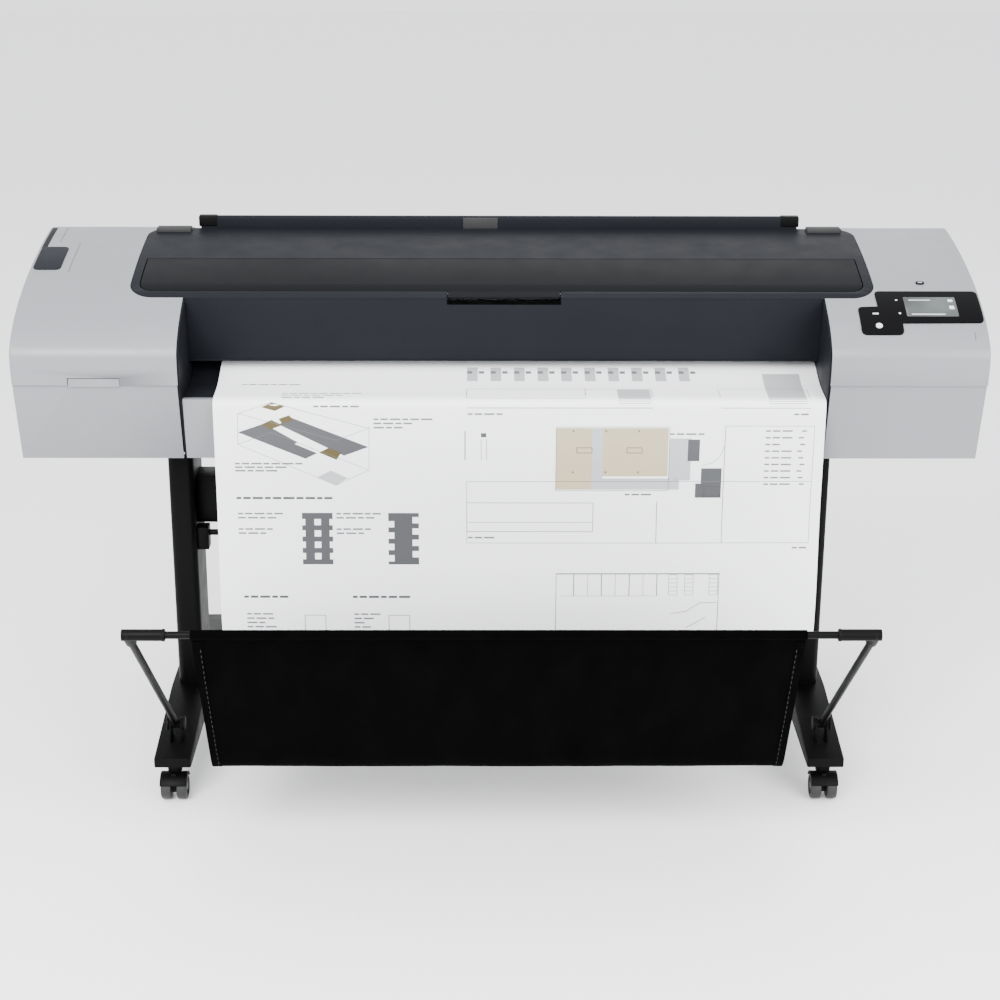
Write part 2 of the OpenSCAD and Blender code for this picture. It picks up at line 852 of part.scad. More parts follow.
// Path of the sheet as [y, z]: roll, feed roller, platen, shelf, front edge, hanging end
tangent_r = roll_r + sheet_t + sheet_gap + 0.1;
feed_top = [feed_y, feed_z + feed_r + sheet_gap];
to_roll = [roll_y, roll_z] - feed_top;
tangent_angle = atan2(to_roll[1], to_roll[0]) - asin(tangent_r / norm(to_roll));
tangent_len = sqrt(norm(to_roll) * norm(to_roll) - tangent_r * tangent_r);
roll_point = feed_top + tangent_len * [cos(tangent_angle), sin(tangent_angle)];
sheet_path = concat(
  [roll_point, [feed_y + 8, feed_top[1] + 2.2], feed_top + [2, 0.1], [feed_y - 14, 830.4]],
  [[platen_front - 2, 830.2], [170, 826.5], [150, 820], [125, 811.5], [100, 805], [75, 801.5]],
  [[48, 799.8], [34, 799.4], [26, 798.8]],
  [for (a = [80:-20:0]) [21 - 8 * cos(a), 787 + 11.5 * sin(a)]],
  [[12.6, 765], [13, 700], [15, 620], [12, 540], [6, 470], [4, 410], [6, 365]],
  [[9, sheet_end_z]]
);
function path_dir(p, i) =
  unit(p[min(i + 1, len(p) - 1)] - p[max(i - 1, 0)]);
function path_side(p, off) =
  [for (i = [0:len(p) - 1]) p[i] + off * left_of(path_dir(p, i))];
module ribbon(p, t) {
  polygon(concat(p, reversed(path_side(p, t))));
}

module paper_sheet() {
  color("white") at_origin()
    along_x(media_left, media_right) ribbon(sheet_path, -sheet_t);
}

module cradle(x) {
  difference() {
    box(x, x + 8, roll_y - 45, roll_y + 45, body_bottom + pan_t, 962);
    rod_x(x - 1, x + 9, roll_y, roll_z, journal_r + 0.3);
    box(x - 1, x + 9, roll_y - journal_r - 0.3, roll_y + journal_r + 0.3, roll_z, 1000);
  }
}

module spindle_cradles() {
  color(black) at_origin() {
    cradle(bay_left + 6);
    cradle(bay_right - 12);
  }
}

// ---- controls ----
panel_t = 2;
screen_t = 0.8;
lift = 0.05;
button_x = 687;
button_y = 45;
button_t = t_for_y(button_y, 0);
button_r = 6;
button_at = top_at(button_t, 0);
button_dir = left_of(unit(bez_dir(top_a, top_b, top_c, top_d, button_t)));
button_tilt = atan2(-button_dir[0], button_dir[1]);

module button_shaft(r, h0, h1) {
  translate([button_x, button_at[0], button_at[1]])
    rotate([button_tilt, 0, 0])
      translate([0, 0, h0]) cylinder(h = h1 - h0, r = r);
}

module control_panel() {
  color(black) at_origin()
    difference() {
      intersection() {
        along_x(640, 890) top_band(panel_t, lift, 0, 0.6);
        union() {
          round_prism(691, 880, 52, 138, 850, 1050, 9);
          round_prism(654, 731, 28, 91, 850, 1050, 9);
          // data port on its own
          round_prism(774, 790, 163, 173, 850, 1050, 4.9);
        }
      }
      button_shaft(6.3, -20, 20);
    }
}

module touch_screen() {
  color([0.5, 0.53, 0.55]) at_origin()
    intersection() {
      along_x(741, 836) top_band(panel_t + screen_t, panel_t + lift, 0, 0.6);
      box(741, 836, 66, 118, 850, 1050);
    }
}

module power_button() {
  color("white") at_origin() button_shaft(button_r, -8, panel_t + 1.2);
}

module badge() {
  color([0.1, 0.12, 0.2]) at_origin()
    intersection() {
      along_x(-878, -826) top_band(1.5, lift, 0.3, 1);
      round_prism(-878, -826, 215, 317, 850, 1050, 10);
    }
}

// Block with a pocket that opens to the rear; edge is the rim's width
module socket(x, z, w, h, edge, depth) {
  difference() {
    box(x, x + w, body_depth - depth, body_depth, z, z + h);
    box(
      x + edge, x + w - edge, body_depth - depth + 5, body_depth + 1, z + edge, z + h - edge
    );
  }
}

port_x = -520;
port_step = 40;
port_z = 720;
port_w = 22;
port_h = 16;
inlet_x = 420.5;
inlet_z = 716.5;
inlet_w = 28;
inlet_h = 21;
module rear_sockets() {
  color(black) at_origin() {
    socket(inlet_x, inlet_z, inlet_w, inlet_h, 3, 19);
    for (k = [0:1])
      socket(port_x + k * port_step, port_z, port_w, port_h, 3, 18);
  }
}

rocker_y = body_depth - 4;
rocker_z = 728;
rocker_r = 11;
switch_x = 471;
module power_switch() {
  color([0.15, 0.15, 0.16]) at_origin()
    difference() {
      rod_x(switch_x - 10, switch_x + 10, rocker_y - 6, rocker_z, rocker_r);
      box(switch_x - 20, switch_x + 20, rocker_y + 3, rocker_y + 20, 700, 760);
      box(switch_x - 20, switch_x + 20, rocker_y - 40, rocker_y - 6, 700, 760);
    }
}

// ---- stand ----
module legs() {
  color(black) at_origin()
    for (s = [-1, 1])
      difference() {
        round_column(s * leg_x, (leg_y0 + leg_y1) / 2, leg_w, leg_d, 12, foot_top, body_bottom);
        round_column(
          s * leg_x, (leg_y0 + leg_y1) / 2, leg_w - 6, leg_d - 6, 9, foot_top - 1, body_bottom + 1
        );
      }
}

module feet() {
  color(black) at_origin()
    for (s = [-1, 1])
      difference() {
        along_x(s * foot_mid_x - foot_w / 2, s * foot_mid_x + foot_w / 2)
          polygon([
            [foot_front, foot_z], [foot_front, foot_height(foot_front)], [leg_y0, foot_top],
            [leg_y1, foot_top], [foot_rear, foot_height(foot_rear)], [foot_rear, foot_z]
          ]);
        for (y = [stem_front_y, stem_rear_y])
          translate([s * foot_mid_x, y, foot_z - 1]) cylinder(h = 19.5, r = stem_r + 0.05);
      }
}

module cross_beam() {
  color(black) at_origin()
    difference() {
      box(-leg_x + leg_w / 2, leg_x - leg_w / 2, 270, 330, 468, 565);
      box(-long, long, 273, 327, 471, 562);
    }
}

// side is -1 or 1, stem_y the stem's place, dir the way the wheels trail
module caster_fork(side, stem_y, dir) {
  axle_y = stem_y + dir * trail;
  color(black) at_origin()
    translate([side * foot_mid_x, 0, 0])
      difference() {
        union() {
          translate([0, stem_y, 50]) cylinder(h = foot_z + 18 - 50, r = stem_r);
          translate([0, stem_y, 54]) cylinder(h = 15, r = 14);
          box(-4, 4, axle_y - 12, axle_y + 12, 22, 56);
          rod_x(-4, 4, axle_y, wheel_r, 12);
          difference() {
            rod_x(-26, 26, axle_y, wheel_r, wheel_r + 4);
            rod_x(-27, 27, axle_y, wheel_r, wheel_r + 1.2);
            box(-30, 30, axle_y - 40, axle_y + 40, -20, wheel_r + 12);
          }
        }
        rod_x(-30, 30, axle_y, wheel_r, 3.05);
      }
}

module caster_wheels(side, stem_y, dir) {
  axle_y = stem_y + dir * trail;
  color([0.12, 0.12, 0.12]) at_origin()
    translate([side * foot_mid_x, 0, 0]) {
      for (x = [-25.5, 5])
        difference() {
          rod_x(x, x + 20.5, axle_y, wheel_r, wheel_r);
          rod_x(x < 0 ? x - 1 : x + 16.5, x < 0 ? x + 4 : x + 22, axle_y, wheel_r, wheel_r - 6);
        }
      rod_x(-22, 22, axle_y, wheel_r, 3);
    }
}

module caster_fork_front_left() { caster_fork(-1, stem_front_y, -1); }
module caster_fork_front_right() { caster_fork(1, stem_front_y, -1); }
module caster_fork_rear_left() { caster_fork(-1, stem_rear_y, 1); }
module caster_fork_rear_right() { caster_fork(1, stem_rear_y, 1); }
module caster_wheels_front_left() { caster_wheels(-1, stem_front_y, -1); }
module caster_wheels_front_right() { caster_wheels(1, stem_front_y, -1); }
module caster_wheels_rear_left() { caster_wheels(-1, stem_rear_y, 1); }
module caster_wheels_rear_right() { caster_wheels(1, stem_rear_y, 1); }

// ---- basket ----
eye_w = 15;
eye_r = 9;
pin_r = 4;
elbow_in = 60;
ear_t = 4;
ear_gap = 1;
fit_gap = 0.05;
rear_rod_r = 6;
hook_x = 576;
module basket_arms() {
  color(black) at_origin()
    for (s = [-1, 1])
      translate([s * arm_x, 0, 0]) {
        rod_x(-eye_w / 2, eye_w / 2, pivot_y, pivot_z, eye_r);
        rod_x(-13, 13, pivot_y, pivot_z, pin_r);
        translate([0, pivot_y, pivot_z])
          rotate([arm_angle - 90, 0, 0])
            translate([0, 0, 5]) cylinder(h = arm_len - 10, r = arm_r);
        // elbow
        rod_x(s > 0 ? -elbow_in : -10, s > 0 ? 10 : elbow_in, -rod_front, rod_z, elbow_r);
      }
}

module basket_front_rod() {
  color(black) at_origin()
    difference() {
      rod_x(-arm_x + elbow_in, arm_x - elbow_in, -rod_front, rod_z, 6.5);
      rod_x(-arm_x, arm_x, -rod_front, rod_z, 5);
    }
}

module basket_brackets() {
  color(black) at_origin() {
    for (s = [-1, 1]) {
      // two ears of each arm's pivot
      for (x = [-eye_w / 2 - ear_gap - ear_t, eye_w / 2 + ear_gap])
        difference() {
          along_x(s * arm_x + x, s * arm_x + x + ear_t)
            polygon([
              [pivot_y - 14, foot_height(pivot_y - 14)], [pivot_y - 10, pivot_z + 8],
              [pivot_y - 4, pivot_z + 12], [pivot_y + 4, pivot_z + 12],
              [pivot_y + 10, pivot_z + 8], [pivot_y + 14, foot_height(pivot_y + 14)]
            ]);
          rod_x(s * arm_x + x - 1, s * arm_x + x + ear_t + 1, pivot_y, pivot_z, pin_r + fit_gap);
        }
      // hook on the leg's inner face
      difference() {
        box(
          s > 0 ? hook_x : -leg_x + leg_w / 2, s > 0 ? leg_x - leg_w / 2 : -hook_x,
          rear_rod_y - 14, rear_rod_y + 18, rear_rod_z - 32, rear_rod_z + 14
        );
        rod_x(-long, long, rear_rod_y, rear_rod_z, rear_rod_r + fit_gap);
      }
    }
    rod_x(-leg_x + leg_w / 2 + 4, leg_x - leg_w / 2 - 4, rear_rod_y, rear_rod_z, rear_rod_r);
  }
}

cloth_t = 1.5;
cloth_path = [
  [7 - rod_front, rod_z - 8.5], [-372, 462], [-340, 398], [-300, 322], [-262, 252], [-238, 206],
  [-226, 186], [-212, 174], [-192, 170], [-165, 178], [-120, 204], [-60, 240], [0, 274],
  [70, 316], [140, 360], [205, 404], [rear_rod_y - 8, rear_rod_z - 11],
  [rear_rod_y - 2, rear_rod_z - 8.5]
];
module basket_fabric() {
  color(black) at_origin()
    along_x(-5 - cloth_w / 2, -5 + cloth_w / 2) ribbon(cloth_path, cloth_t);
}

chassis();
main_beam();
carriage_rails();
carriage();
printheads();
carriage_belt();
drive_pulley();
idler_pulley();
drive_motors();
print_platen();
output_shelf();
drive_roller();
feed_gear();
feed_pinion();
pinch_rollers();
service_station();
ink_bay();
ink_cartridge_1();
ink_cartridge_2();
ink_cartridge_3();
ink_cartridge_4();
ink_cartridge_5();
ink_cartridge_6();
maintenance_cartridge();
maintenance_door();
wing_left();
wing_right();
ink_door();
right_lower_cover();
inner_walls();
window_frame();
window();
lower_front_panel();
rear_cover();
roll_cover();
spindle();
paper_roll();
paper_sheet();
spindle_cradles();
control_panel();
touch_screen();
power_button();
badge();
rear_sockets();
power_switch();
legs();
feet();
cross_beam();
caster_fork_front_left();
caster_fork_front_right();
caster_fork_rear_left();
caster_fork_rear_right();
caster_wheels_front_left();
caster_wheels_front_right();
caster_wheels_rear_left();
caster_wheels_rear_right();
basket_arms();
basket_front_rod();
basket_brackets();
basket_fabric();
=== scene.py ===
"""Looks of the large format plotter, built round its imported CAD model."""

import json
import math

import bmesh
import bpy
from mathutils import Matrix, Vector, noise


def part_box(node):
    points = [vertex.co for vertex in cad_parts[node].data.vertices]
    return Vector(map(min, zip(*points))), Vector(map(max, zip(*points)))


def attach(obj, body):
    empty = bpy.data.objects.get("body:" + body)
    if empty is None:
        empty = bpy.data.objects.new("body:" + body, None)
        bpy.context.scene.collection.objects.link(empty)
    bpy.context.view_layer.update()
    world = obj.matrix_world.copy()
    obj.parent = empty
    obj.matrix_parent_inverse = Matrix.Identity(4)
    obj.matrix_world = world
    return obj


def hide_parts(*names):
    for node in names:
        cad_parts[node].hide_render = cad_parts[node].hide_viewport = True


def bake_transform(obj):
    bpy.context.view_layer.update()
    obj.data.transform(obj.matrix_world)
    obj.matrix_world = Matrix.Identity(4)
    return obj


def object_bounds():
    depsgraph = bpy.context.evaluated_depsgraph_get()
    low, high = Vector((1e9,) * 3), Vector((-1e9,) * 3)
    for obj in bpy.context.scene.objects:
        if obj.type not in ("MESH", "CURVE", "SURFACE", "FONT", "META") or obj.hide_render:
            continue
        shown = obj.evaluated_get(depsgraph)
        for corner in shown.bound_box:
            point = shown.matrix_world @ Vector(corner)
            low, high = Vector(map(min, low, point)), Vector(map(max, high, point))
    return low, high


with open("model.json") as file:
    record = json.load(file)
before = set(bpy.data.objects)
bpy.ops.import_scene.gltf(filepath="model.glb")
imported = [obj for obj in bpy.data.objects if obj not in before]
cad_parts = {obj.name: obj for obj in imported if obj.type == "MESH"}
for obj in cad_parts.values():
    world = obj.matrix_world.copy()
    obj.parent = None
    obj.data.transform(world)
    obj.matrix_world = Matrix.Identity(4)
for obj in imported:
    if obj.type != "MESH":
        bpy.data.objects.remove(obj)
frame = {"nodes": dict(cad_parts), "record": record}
cad_low, cad_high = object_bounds()
nodes = frame["nodes"]
record = frame["record"]
BODY_OF = {n: b for b, ns in record["behaviour"]["bodies"].items() for n in ns}
SLOT_OF = {s["node"]: s["material_slot"] for s in record["subparts"]}
NOSE_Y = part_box("wing_left")[0].y
MM = 0.001


def at(x, y, z):
    """A point given in millimetres: from the middle, behind the nose, above the floor."""
    return Vector((x * MM, NOSE_Y + y * MM, z * MM))


def side_name(side):
    return "left" if side < 0 else "right"


# ---- camera, fitted to the photograph ----
CAMERA_AT = (-34, -3538, 1868)
CAMERA_TURN_DEG = (0.54, 19.56, 0.21)  # yaw, pitch down, roll
LENS_MM = 73.3
SENSOR_MM = 36


def make_camera():
    data = bpy.data.cameras.new("camera")
    data.sensor_width = SENSOR_MM
    data.lens = LENS_MM
    camera = bpy.data.objects.new("camera", data)
    bpy.context.scene.collection.objects.link(camera)
    yaw, pitch, roll = (math.radians(a) for a in CAMERA_TURN_DEG)
    level = Vector((math.sin(yaw), math.cos(yaw), 0))
    side = Vector((math.cos(yaw), -math.sin(yaw), 0))
    top = Vector((0, 0, 1))
    ahead = level * math.cos(pitch) - top * math.sin(pitch)
    up = level * math.sin(pitch) + top * math.cos(pitch)
    x_axis = side * math.cos(roll) + up * math.sin(roll)
    y_axis = up * math.cos(roll) - side * math.sin(roll)
    turn = Matrix((x_axis, y_axis, -ahead)).transposed().to_4x4()
    camera.matrix_world = Matrix.Translation(at(*CAMERA_AT)) @ turn
    bpy.context.scene.camera = camera


# ---- materials ----
def add(tree, kind, settings=None, inputs=None):
    node = tree.nodes.new(kind)
    for key, value in (settings or {}).items():
        setattr(node, key, value)
    for key, value in (inputs or {}).items():
        node.inputs[key].default_value = value
    return node


def shader(name, colour, roughness, metallic=0.0, **fixed):
    """A material with its principled shader; fixed values go on the shader's own sockets."""
    material = bpy.data.materials.new(name)
    material.use_nodes = True
    tree = material.node_tree
    principled = tree.nodes["Principled BSDF"]
    principled.inputs["Base Color"].default_value = (*colour, 1)
    principled.inputs["Roughness"].default_value = roughness
    principled.inputs["Metallic"].default_value = metallic
    for key, value in fixed.items():
        principled.inputs[key.replace("_", " ")].default_value = value
    return material, tree, principled


def place(tree, stretch=(1, 1, 1), uv=False):
    """Object or UV coordinates in metres, stretched."""
    coords = add(tree, "ShaderNodeTexCoord")
    mapping = add(tree, "ShaderNodeMapping", inputs={"Scale": stretch})
    tree.links.new(coords.outputs["UV" if uv else "Object"], mapping.inputs["Vector"])
    return mapping.outputs["Vector"]


def speckle(tree, vector, scale, detail=3.0):
    node = add(tree, "ShaderNodeTexNoise", inputs={"Scale": scale, "Detail": detail})
    tree.links.new(vector, node.inputs["Vector"])
    return node.outputs["Fac"]


def spread(tree, value, low, high):
    """Maps the middle of a noise to low..high."""
    node = add(
        tree,
        "ShaderNodeMapRange",
        inputs={"From Min": 0.3, "From Max": 0.7, "To Min": low, "To Max": high},
    )
    tree.links.new(value, node.inputs["Value"])
    return node.outputs["Result"]


MIX_FACTOR, MIX_A, MIX_B, MIX_RESULT = 0, 6, 7, 2  # the Mix node's colour sockets, by index


def tint(tree, principled, value, colour, amount):
    """Varies the base colour between colour*(1-amount) and colour*(1+amount)."""
    mix = add(tree, "ShaderNodeMix", {"data_type": "RGBA"})
    for socket, factor in ((MIX_A, 1 - amount), (MIX_B, 1 + amount)):
        mix.inputs[socket].default_value = (*[min(1, c * factor) for c in colour], 1)
    tree.links.new(spread(tree, value, 0, 1), mix.inputs[MIX_FACTOR])
    tree.links.new(mix.outputs[MIX_RESULT], principled.inputs["Base Color"])


def relief(tree, principled, heights, strength, distance):
    """Bump from one or more height outputs, chained."""
    normal = None
    for height in heights:
        bump = add(tree, "ShaderNodeBump", inputs={"Strength": strength, "Distance": distance})
        tree.links.new(height, bump.inputs["Height"])
        if normal is not None:
            tree.links.new(normal, bump.inputs["Normal"])
        normal = bump.outputs["Normal"]
    tree.links.new(normal, principled.inputs["Normal"])


def moulded(name, colour, roughness, grain=1500, depth=0.00006, vary=0.04, **fixed):
    """Moulded or coated surface: fine spark texture, slow change of colour and gloss."""
    material, tree, principled = shader(name, colour, roughness, **fixed)
    vector = place(tree)
    tint(tree, principled, speckle(tree, vector, 5.0), colour, vary)
    rough = spread(tree, speckle(tree, vector, 22.0, 5.0), roughness - 0.05, roughness + 0.05)
    tree.links.new(rough, principled.inputs["Roughness"])
    fine = speckle(tree, vector, grain)
    coarse = speckle(tree, vector, grain / 4)
    relief(tree, principled, [coarse, fine], 0.5, depth)
    return material


def brushed(name, colour, roughness, along=(4, 300, 300)):
    """Metal with a grain along X."""
    material, tree, principled = shader(name, colour, roughness, metallic=1.0)
    streaks = speckle(tree, place(tree, along), 6.0, 6.0)
    tint(tree, principled, streaks, colour, 0.1)
    rough = spread(tree, streaks, roughness - 0.08, roughness + 0.1)
    tree.links.new(rough, principled.inputs["Roughness"])
    relief(tree, principled, [streaks], 0.25, 0.00003)
    return material


THREAD_PITCH = 0.0011  # metres from thread to thread
WAVE_RADIANS = 20  # the wave texture's phase per unit at scale 1


def woven(name, colour):
    """Plain weave: two crossed sets of threads on the cloth's own UV, in metres."""
    material, tree, principled = shader(name, colour, 0.95, IOR=1.06)
    vector = place(tree, uv=True)
    thread_scale = 2 * math.pi / (WAVE_RADIANS * THREAD_PITCH)
    threads = []
    for direction in ("X", "Y"):
        wave = add(
            tree,
            "ShaderNodeTexWave",
            {"wave_type": "BANDS", "bands_direction": direction},
            {"Scale": thread_scale, "Distortion": 0.6, "Detail": 1.0, "Detail Scale": 2.0},
        )
        tree.links.new(vector, wave.inputs["Vector"])
        threads.append(wave.outputs["Fac"])
    cloudy = speckle(tree, vector, 18.0, 6.0)
    tint(tree, principled, cloudy, colour, 0.35)
    rough = spread(tree, speckle(tree, vector, 900.0), 0.78, 0.95)
    tree.links.new(rough, principled.inputs["Roughness"])
    relief(tree, principled, threads, 0.5, 0.00025)
    return material


def coated_paper(name, colour):
    material, tree, principled = shader(name, colour, 0.62, Specular_IOR_Level=0.35)
    vector = place(tree)
    tint(tree, principled, speckle(tree, vector, 900.0, 6.0), colour, 0.012)
    coarse, fine = (speckle(tree, vector, scale) for scale in (60.0, 2500.0))
    relief(tree, principled, [coarse, fine], 0.2, 0.00008)
    return material


def display(name):
    """Lit display glass: a soft grey gradient under a clear coat."""
    colour = (0.030, 0.035, 0.036)
    material, tree, principled = shader(name, colour, 0.12, Coat_Weight=0.15, Coat_Roughness=0.05)
    vector = place(tree, (9, 9, 9))
    wave = speckle(tree, vector, 1.6, 2.0)
    tint(tree, principled, wave, colour, 0.55)
    principled.inputs["Emission Strength"].default_value = 0.08
    principled.inputs["Emission Color"].default_value = (0.5, 0.55, 0.55, 1)
    return material


def ink(name, colour):
    """Dried ink: slightly mottled, a little glossier than the paper."""
    material, tree, principled = shader(name, colour, 0.5)
    tint(tree, principled, speckle(tree, place(tree), 700.0, 4.0), colour, 0.06)
    return material


INKS = {
    "line": (0.09, 0.094, 0.098),
    "text": (0.11, 0.113, 0.118),
    "grey": (0.048, 0.050, 0.055),
    "pale": (0.36, 0.37, 0.385),
    "ochre": (0.060, 0.042, 0.006),
    "beige": (0.40, 0.34, 0.22),
    "white": (0.84, 0.85, 0.87),
}


def make_materials():
    """All materials by name. Moulded: colour, roughness, grain, relief depth, variation."""
    made = {
        "steel": brushed("steel", (0.52, 0.53, 0.55), 0.42),
        "roller_steel": brushed("roller_steel", (0.42, 0.43, 0.44), 0.5, (40, 500, 500)),
        "brass": brushed("brass", (0.62, 0.45, 0.18), 0.35),
        "screen": display("screen"),
        "paper": coated_paper("paper", (0.84, 0.85, 0.87)),
        "basket_cloth": woven("basket_cloth", (0.0006, 0.0006, 0.00065)),
    }

    def mould(name, *look, **more):
        made[name] = moulded(name, *look, **more)

    mould("silver_plastic", (0.168, 0.173, 0.186), 0.42, vary=0.015)
    mould("dark_plastic", (0.0075, 0.0082, 0.0103), 0.46, 1500, 0.00004, 0.05, IOR=1.12)
    mould("window_plastic", (0.0045, 0.0048, 0.0056), 0.36, 2600, 0.00001, 0.03, IOR=1.10)
    mould("black_plastic", (0.0018, 0.0018, 0.0020), 0.5, IOR=1.15)
    mould("black_metal", (0.0014, 0.0014, 0.0015), 0.46, 900, 0.00010, 0.12, IOR=1.15)
    mould("nylon", (0.62, 0.61, 0.55), 0.5, 900)
    mould("rubber", (0.004, 0.004, 0.004), 0.78, 700, 0.0001, 0.2)
    mould("wheel_tyre", (0.0035, 0.0035, 0.0038), 0.5, 800, 0.0001, 0.25)
    mould("printhead_plastic", (0.02, 0.06, 0.22), 0.3)
    mould("cartridge_black", (0.02, 0.02, 0.022), 0.4)
    mould("cartridge_magenta", (0.45, 0.02, 0.12), 0.4)
    mould("cartridge_yellow", (0.75, 0.5, 0.02), 0.4)
    mould("cartridge_cyan", (0.01, 0.2, 0.45), 0.4)
    mould("cartridge_grey", (0.16, 0.16, 0.17), 0.4)
    mould("bezel_gloss", (0.0015, 0.0015, 0.0018), 0.3, 3000, 0.00001, 0.1, IOR=1.12)
    mould("button_white", (0.62, 0.62, 0.62), 0.3)
    mould("badge_gloss", (0.0022, 0.0032, 0.0062), 0.28, 3000, 0.00001, 0.15, IOR=1.14)
    mould("thread", (0.0028, 0.0028, 0.003), 0.8, 3000, 0.0001, 0.3)
    mould("lamp_white", (0.55, 0.56, 0.57), 0.3)
    mould("seam_black", (0.0035, 0.0035, 0.004), 0.7)
    mould("floor", (0.93, 0.93, 0.93), 0.75, 300, 0.00005, 0.004)
    for name, colour in INKS.items():
        made["ink_" + name] = ink("ink_" + name, colour)
    return made


# ---- mesh helpers ----
def to_object(bm, name, material, body=None, sharp_deg=32):
    """Turns a bmesh into a piece with smooth faces and sharp edges."""
    bm.normal_update()
    for face in bm.faces:
        face.smooth = True
    for edge in bm.edges:
        if len(edge.link_faces) == 2:
            edge.smooth = edge.calc_face_angle(0) < math.radians(sharp_deg)
    mesh = bpy.data.meshes.new(name)
    bm.to_mesh(mesh)
    bm.free()
    piece = bpy.data.objects.new(name, mesh)
    bpy.context.scene.collection.objects.link(piece)
    mesh.materials.append(MATERIALS[material])
    if body:
        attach(piece, body)
    return piece


def bevel(bm, width, angle_deg=35, chosen=None, segments=3):
    edges = [
        e
        for e in bm.edges
        if len(e.link_faces) == 2
        and e.calc_face_angle(0) > math.radians(angle_deg)
        and (chosen is None or chosen(e))
    ]
    if edges:
        bmesh.ops.bevel(
            bm,
            geom=edges,
            offset=width * MM,
            offset_type="OFFSET",
            segments=segments,
            profile=0.5,
            affect="EDGES",
            clamp_overlap=True,
        )


WELD_M = 0.000004
FLAT_DEG = 0.4
SHORTEST_EDGE_M = 0.0015


def softened(node, width, wide=None):
    """The CAD node again with rounded edges. wide is (edge test, width) for a larger radius."""
    bm = bmesh.new()
    bm.from_mesh(nodes[node].data)
    bmesh.ops.remove_doubles(bm, verts=bm.verts, dist=WELD_M)
    bmesh.ops.dissolve_limit(
        bm, angle_limit=math.radians(FLAT_DEG), verts=bm.verts, edges=bm.edges
    )
    bm.normal_update()
    if wide:
        bevel(bm, wide[1], 35, wide[0], 5)
        bm.normal_update()
    if width:
        bevel(bm, width, 40, lambda e: e.calc_length() > SHORTEST_EDGE_M, 2)
    piece = to_object(bm, node + "_shell", SLOT_OF[node], BODY_OF[node])
    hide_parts(node)
    return piece


def thick_grid(top, bottom):
    """Closed bmesh between two grids of points of the same size."""
    bm = bmesh.new()
    rows, cols = len(top), len(top[0])
    upper = [[bm.verts.new(p) for p in row] for row in top]
    lower = [[bm.verts.new(p) for p in row] for row in bottom]
    for i in range(rows - 1):
        for j in range(cols - 1):
            bm.faces.new((upper[i][j], upper[i][j + 1], upper[i + 1][j + 1], upper[i + 1][j]))
            bm.faces.new((lower[i][j], lower[i + 1][j], lower[i + 1][j + 1], lower[i][j + 1]))
    for i in range(rows - 1):
        for j in (0, cols - 1):
            bm.faces.new((upper[i][j], upper[i + 1][j], lower[i + 1][j], lower[i][j]))
    for j in range(cols - 1):
        for i in (0, rows - 1):
            bm.faces.new((upper[i][j], lower[i][j], lower[i][j + 1], upper[i][j + 1]))
    bmesh.ops.recalc_face_normals(bm, faces=bm.faces)
    return bm


def lathe(profile, centre, axis="X", steps=40):
    """Closed body of revolution. profile is [along, radius] pairs in millimetres."""
    bm = bmesh.new()
    rings = []
    for along, radius in profile:
        ring = []
        for k in range(steps):
            a = 2 * math.pi * k / steps
            u, v = radius * math.cos(a), radius * math.sin(a)
            point = {"X": (along, u, v), "Y": (u, along, v), "Z": (u, v, along)}[axis]
            ring.append(bm.verts.new(Vector(point) * MM + centre))
        rings.append(ring)
    for low, high in zip(rings, rings[1:]):
        for k in range(steps):
            bm.faces.new((low[k], low[(k + 1) % steps], high[(k + 1) % steps], high[k]))
    bm.faces.new(rings[0])
    bm.faces.new(rings[-1])
    bmesh.ops.recalc_face_normals(bm, faces=bm.faces)
    return bm


def block(low, high, width=0.8):
    """Box between two points with rounded edges."""
    bm = bmesh.new()
    bmesh.ops.create_cube(bm, size=1)
    for v in bm.verts:
        v.co = Vector((low[i] if v.co[i] < 0 else high[i]) for i in range(3))
    bevel(bm, width)
    return bm


CURVE_PARTS = 12  # pieces between two given points, before they are spaced evenly


def curve_through(points, step):
    """Evenly spaced points on a smooth curve through (y, z) points, and its length."""
    dense = []
    for i in range(len(points) - 1):
        p0 = points[max(i - 1, 0)]
        p1, p2 = points[i], points[i + 1]
        p3 = points[min(i + 2, len(points) - 1)]
        for k in range(CURVE_PARTS):
            t = k / CURVE_PARTS
            dense.append(
                tuple(
                    0.5
                    * (
                        2 * p1[c]
                        + (p2[c] - p0[c]) * t
                        + (2 * p0[c] - 5 * p1[c] + 4 * p2[c] - p3[c]) * t * t
                        + (3 * p1[c] - p0[c] - 3 * p2[c] + p3[c]) * t**3
                    )
                    for c in (0, 1)
                )
            )
    dense.append(points[-1])
    lengths = [0.0]
    for a, b in zip(dense, dense[1:]):
        lengths.append(lengths[-1] + math.dist(a, b))
    count = max(2, round(lengths[-1] / step))
    even, k = [], 0
    for i in range(count + 1):
        goal = lengths[-1] * i / count
        while k < len(dense) - 2 and lengths[k + 1] < goal:
            k += 1
        t = (goal - lengths[k]) / max(lengths[k + 1] - lengths[k], 1e-9)
        even.append(tuple(dense[k][c] + (dense[k + 1][c] - dense[k][c]) * t for c in (0, 1)))
    return even, lengths[-1]


def sideways(path, i):
    """Unit vector at right angles to a (y, z) path."""
    a, b = path[max(i - 1, 0)], path[min(i + 1, len(path) - 1)]
    n = math.dist(a, b)
    return -(b[1] - a[1]) / n, (b[0] - a[0]) / n


# ---- the top skin, as a curve in (y, z) ----
TOP = ((2, 890), (56, 974), (303, 1016), (430, 1027))


def bezier(t, c):
    a, b, d, e = (p[c] for p in TOP)
    return (1 - t) ** 3 * a + 3 * t * (1 - t) ** 2 * b + 3 * t * t * (1 - t) * d + t**3 * e


def top_z(y):
    low, high = 0.0, 1.0
    for _ in range(30):
        mid = (low + high) / 2
        if bezier(mid, 0) < y:
            low = mid
        else:
            high = mid
    return bezier(low, 1)


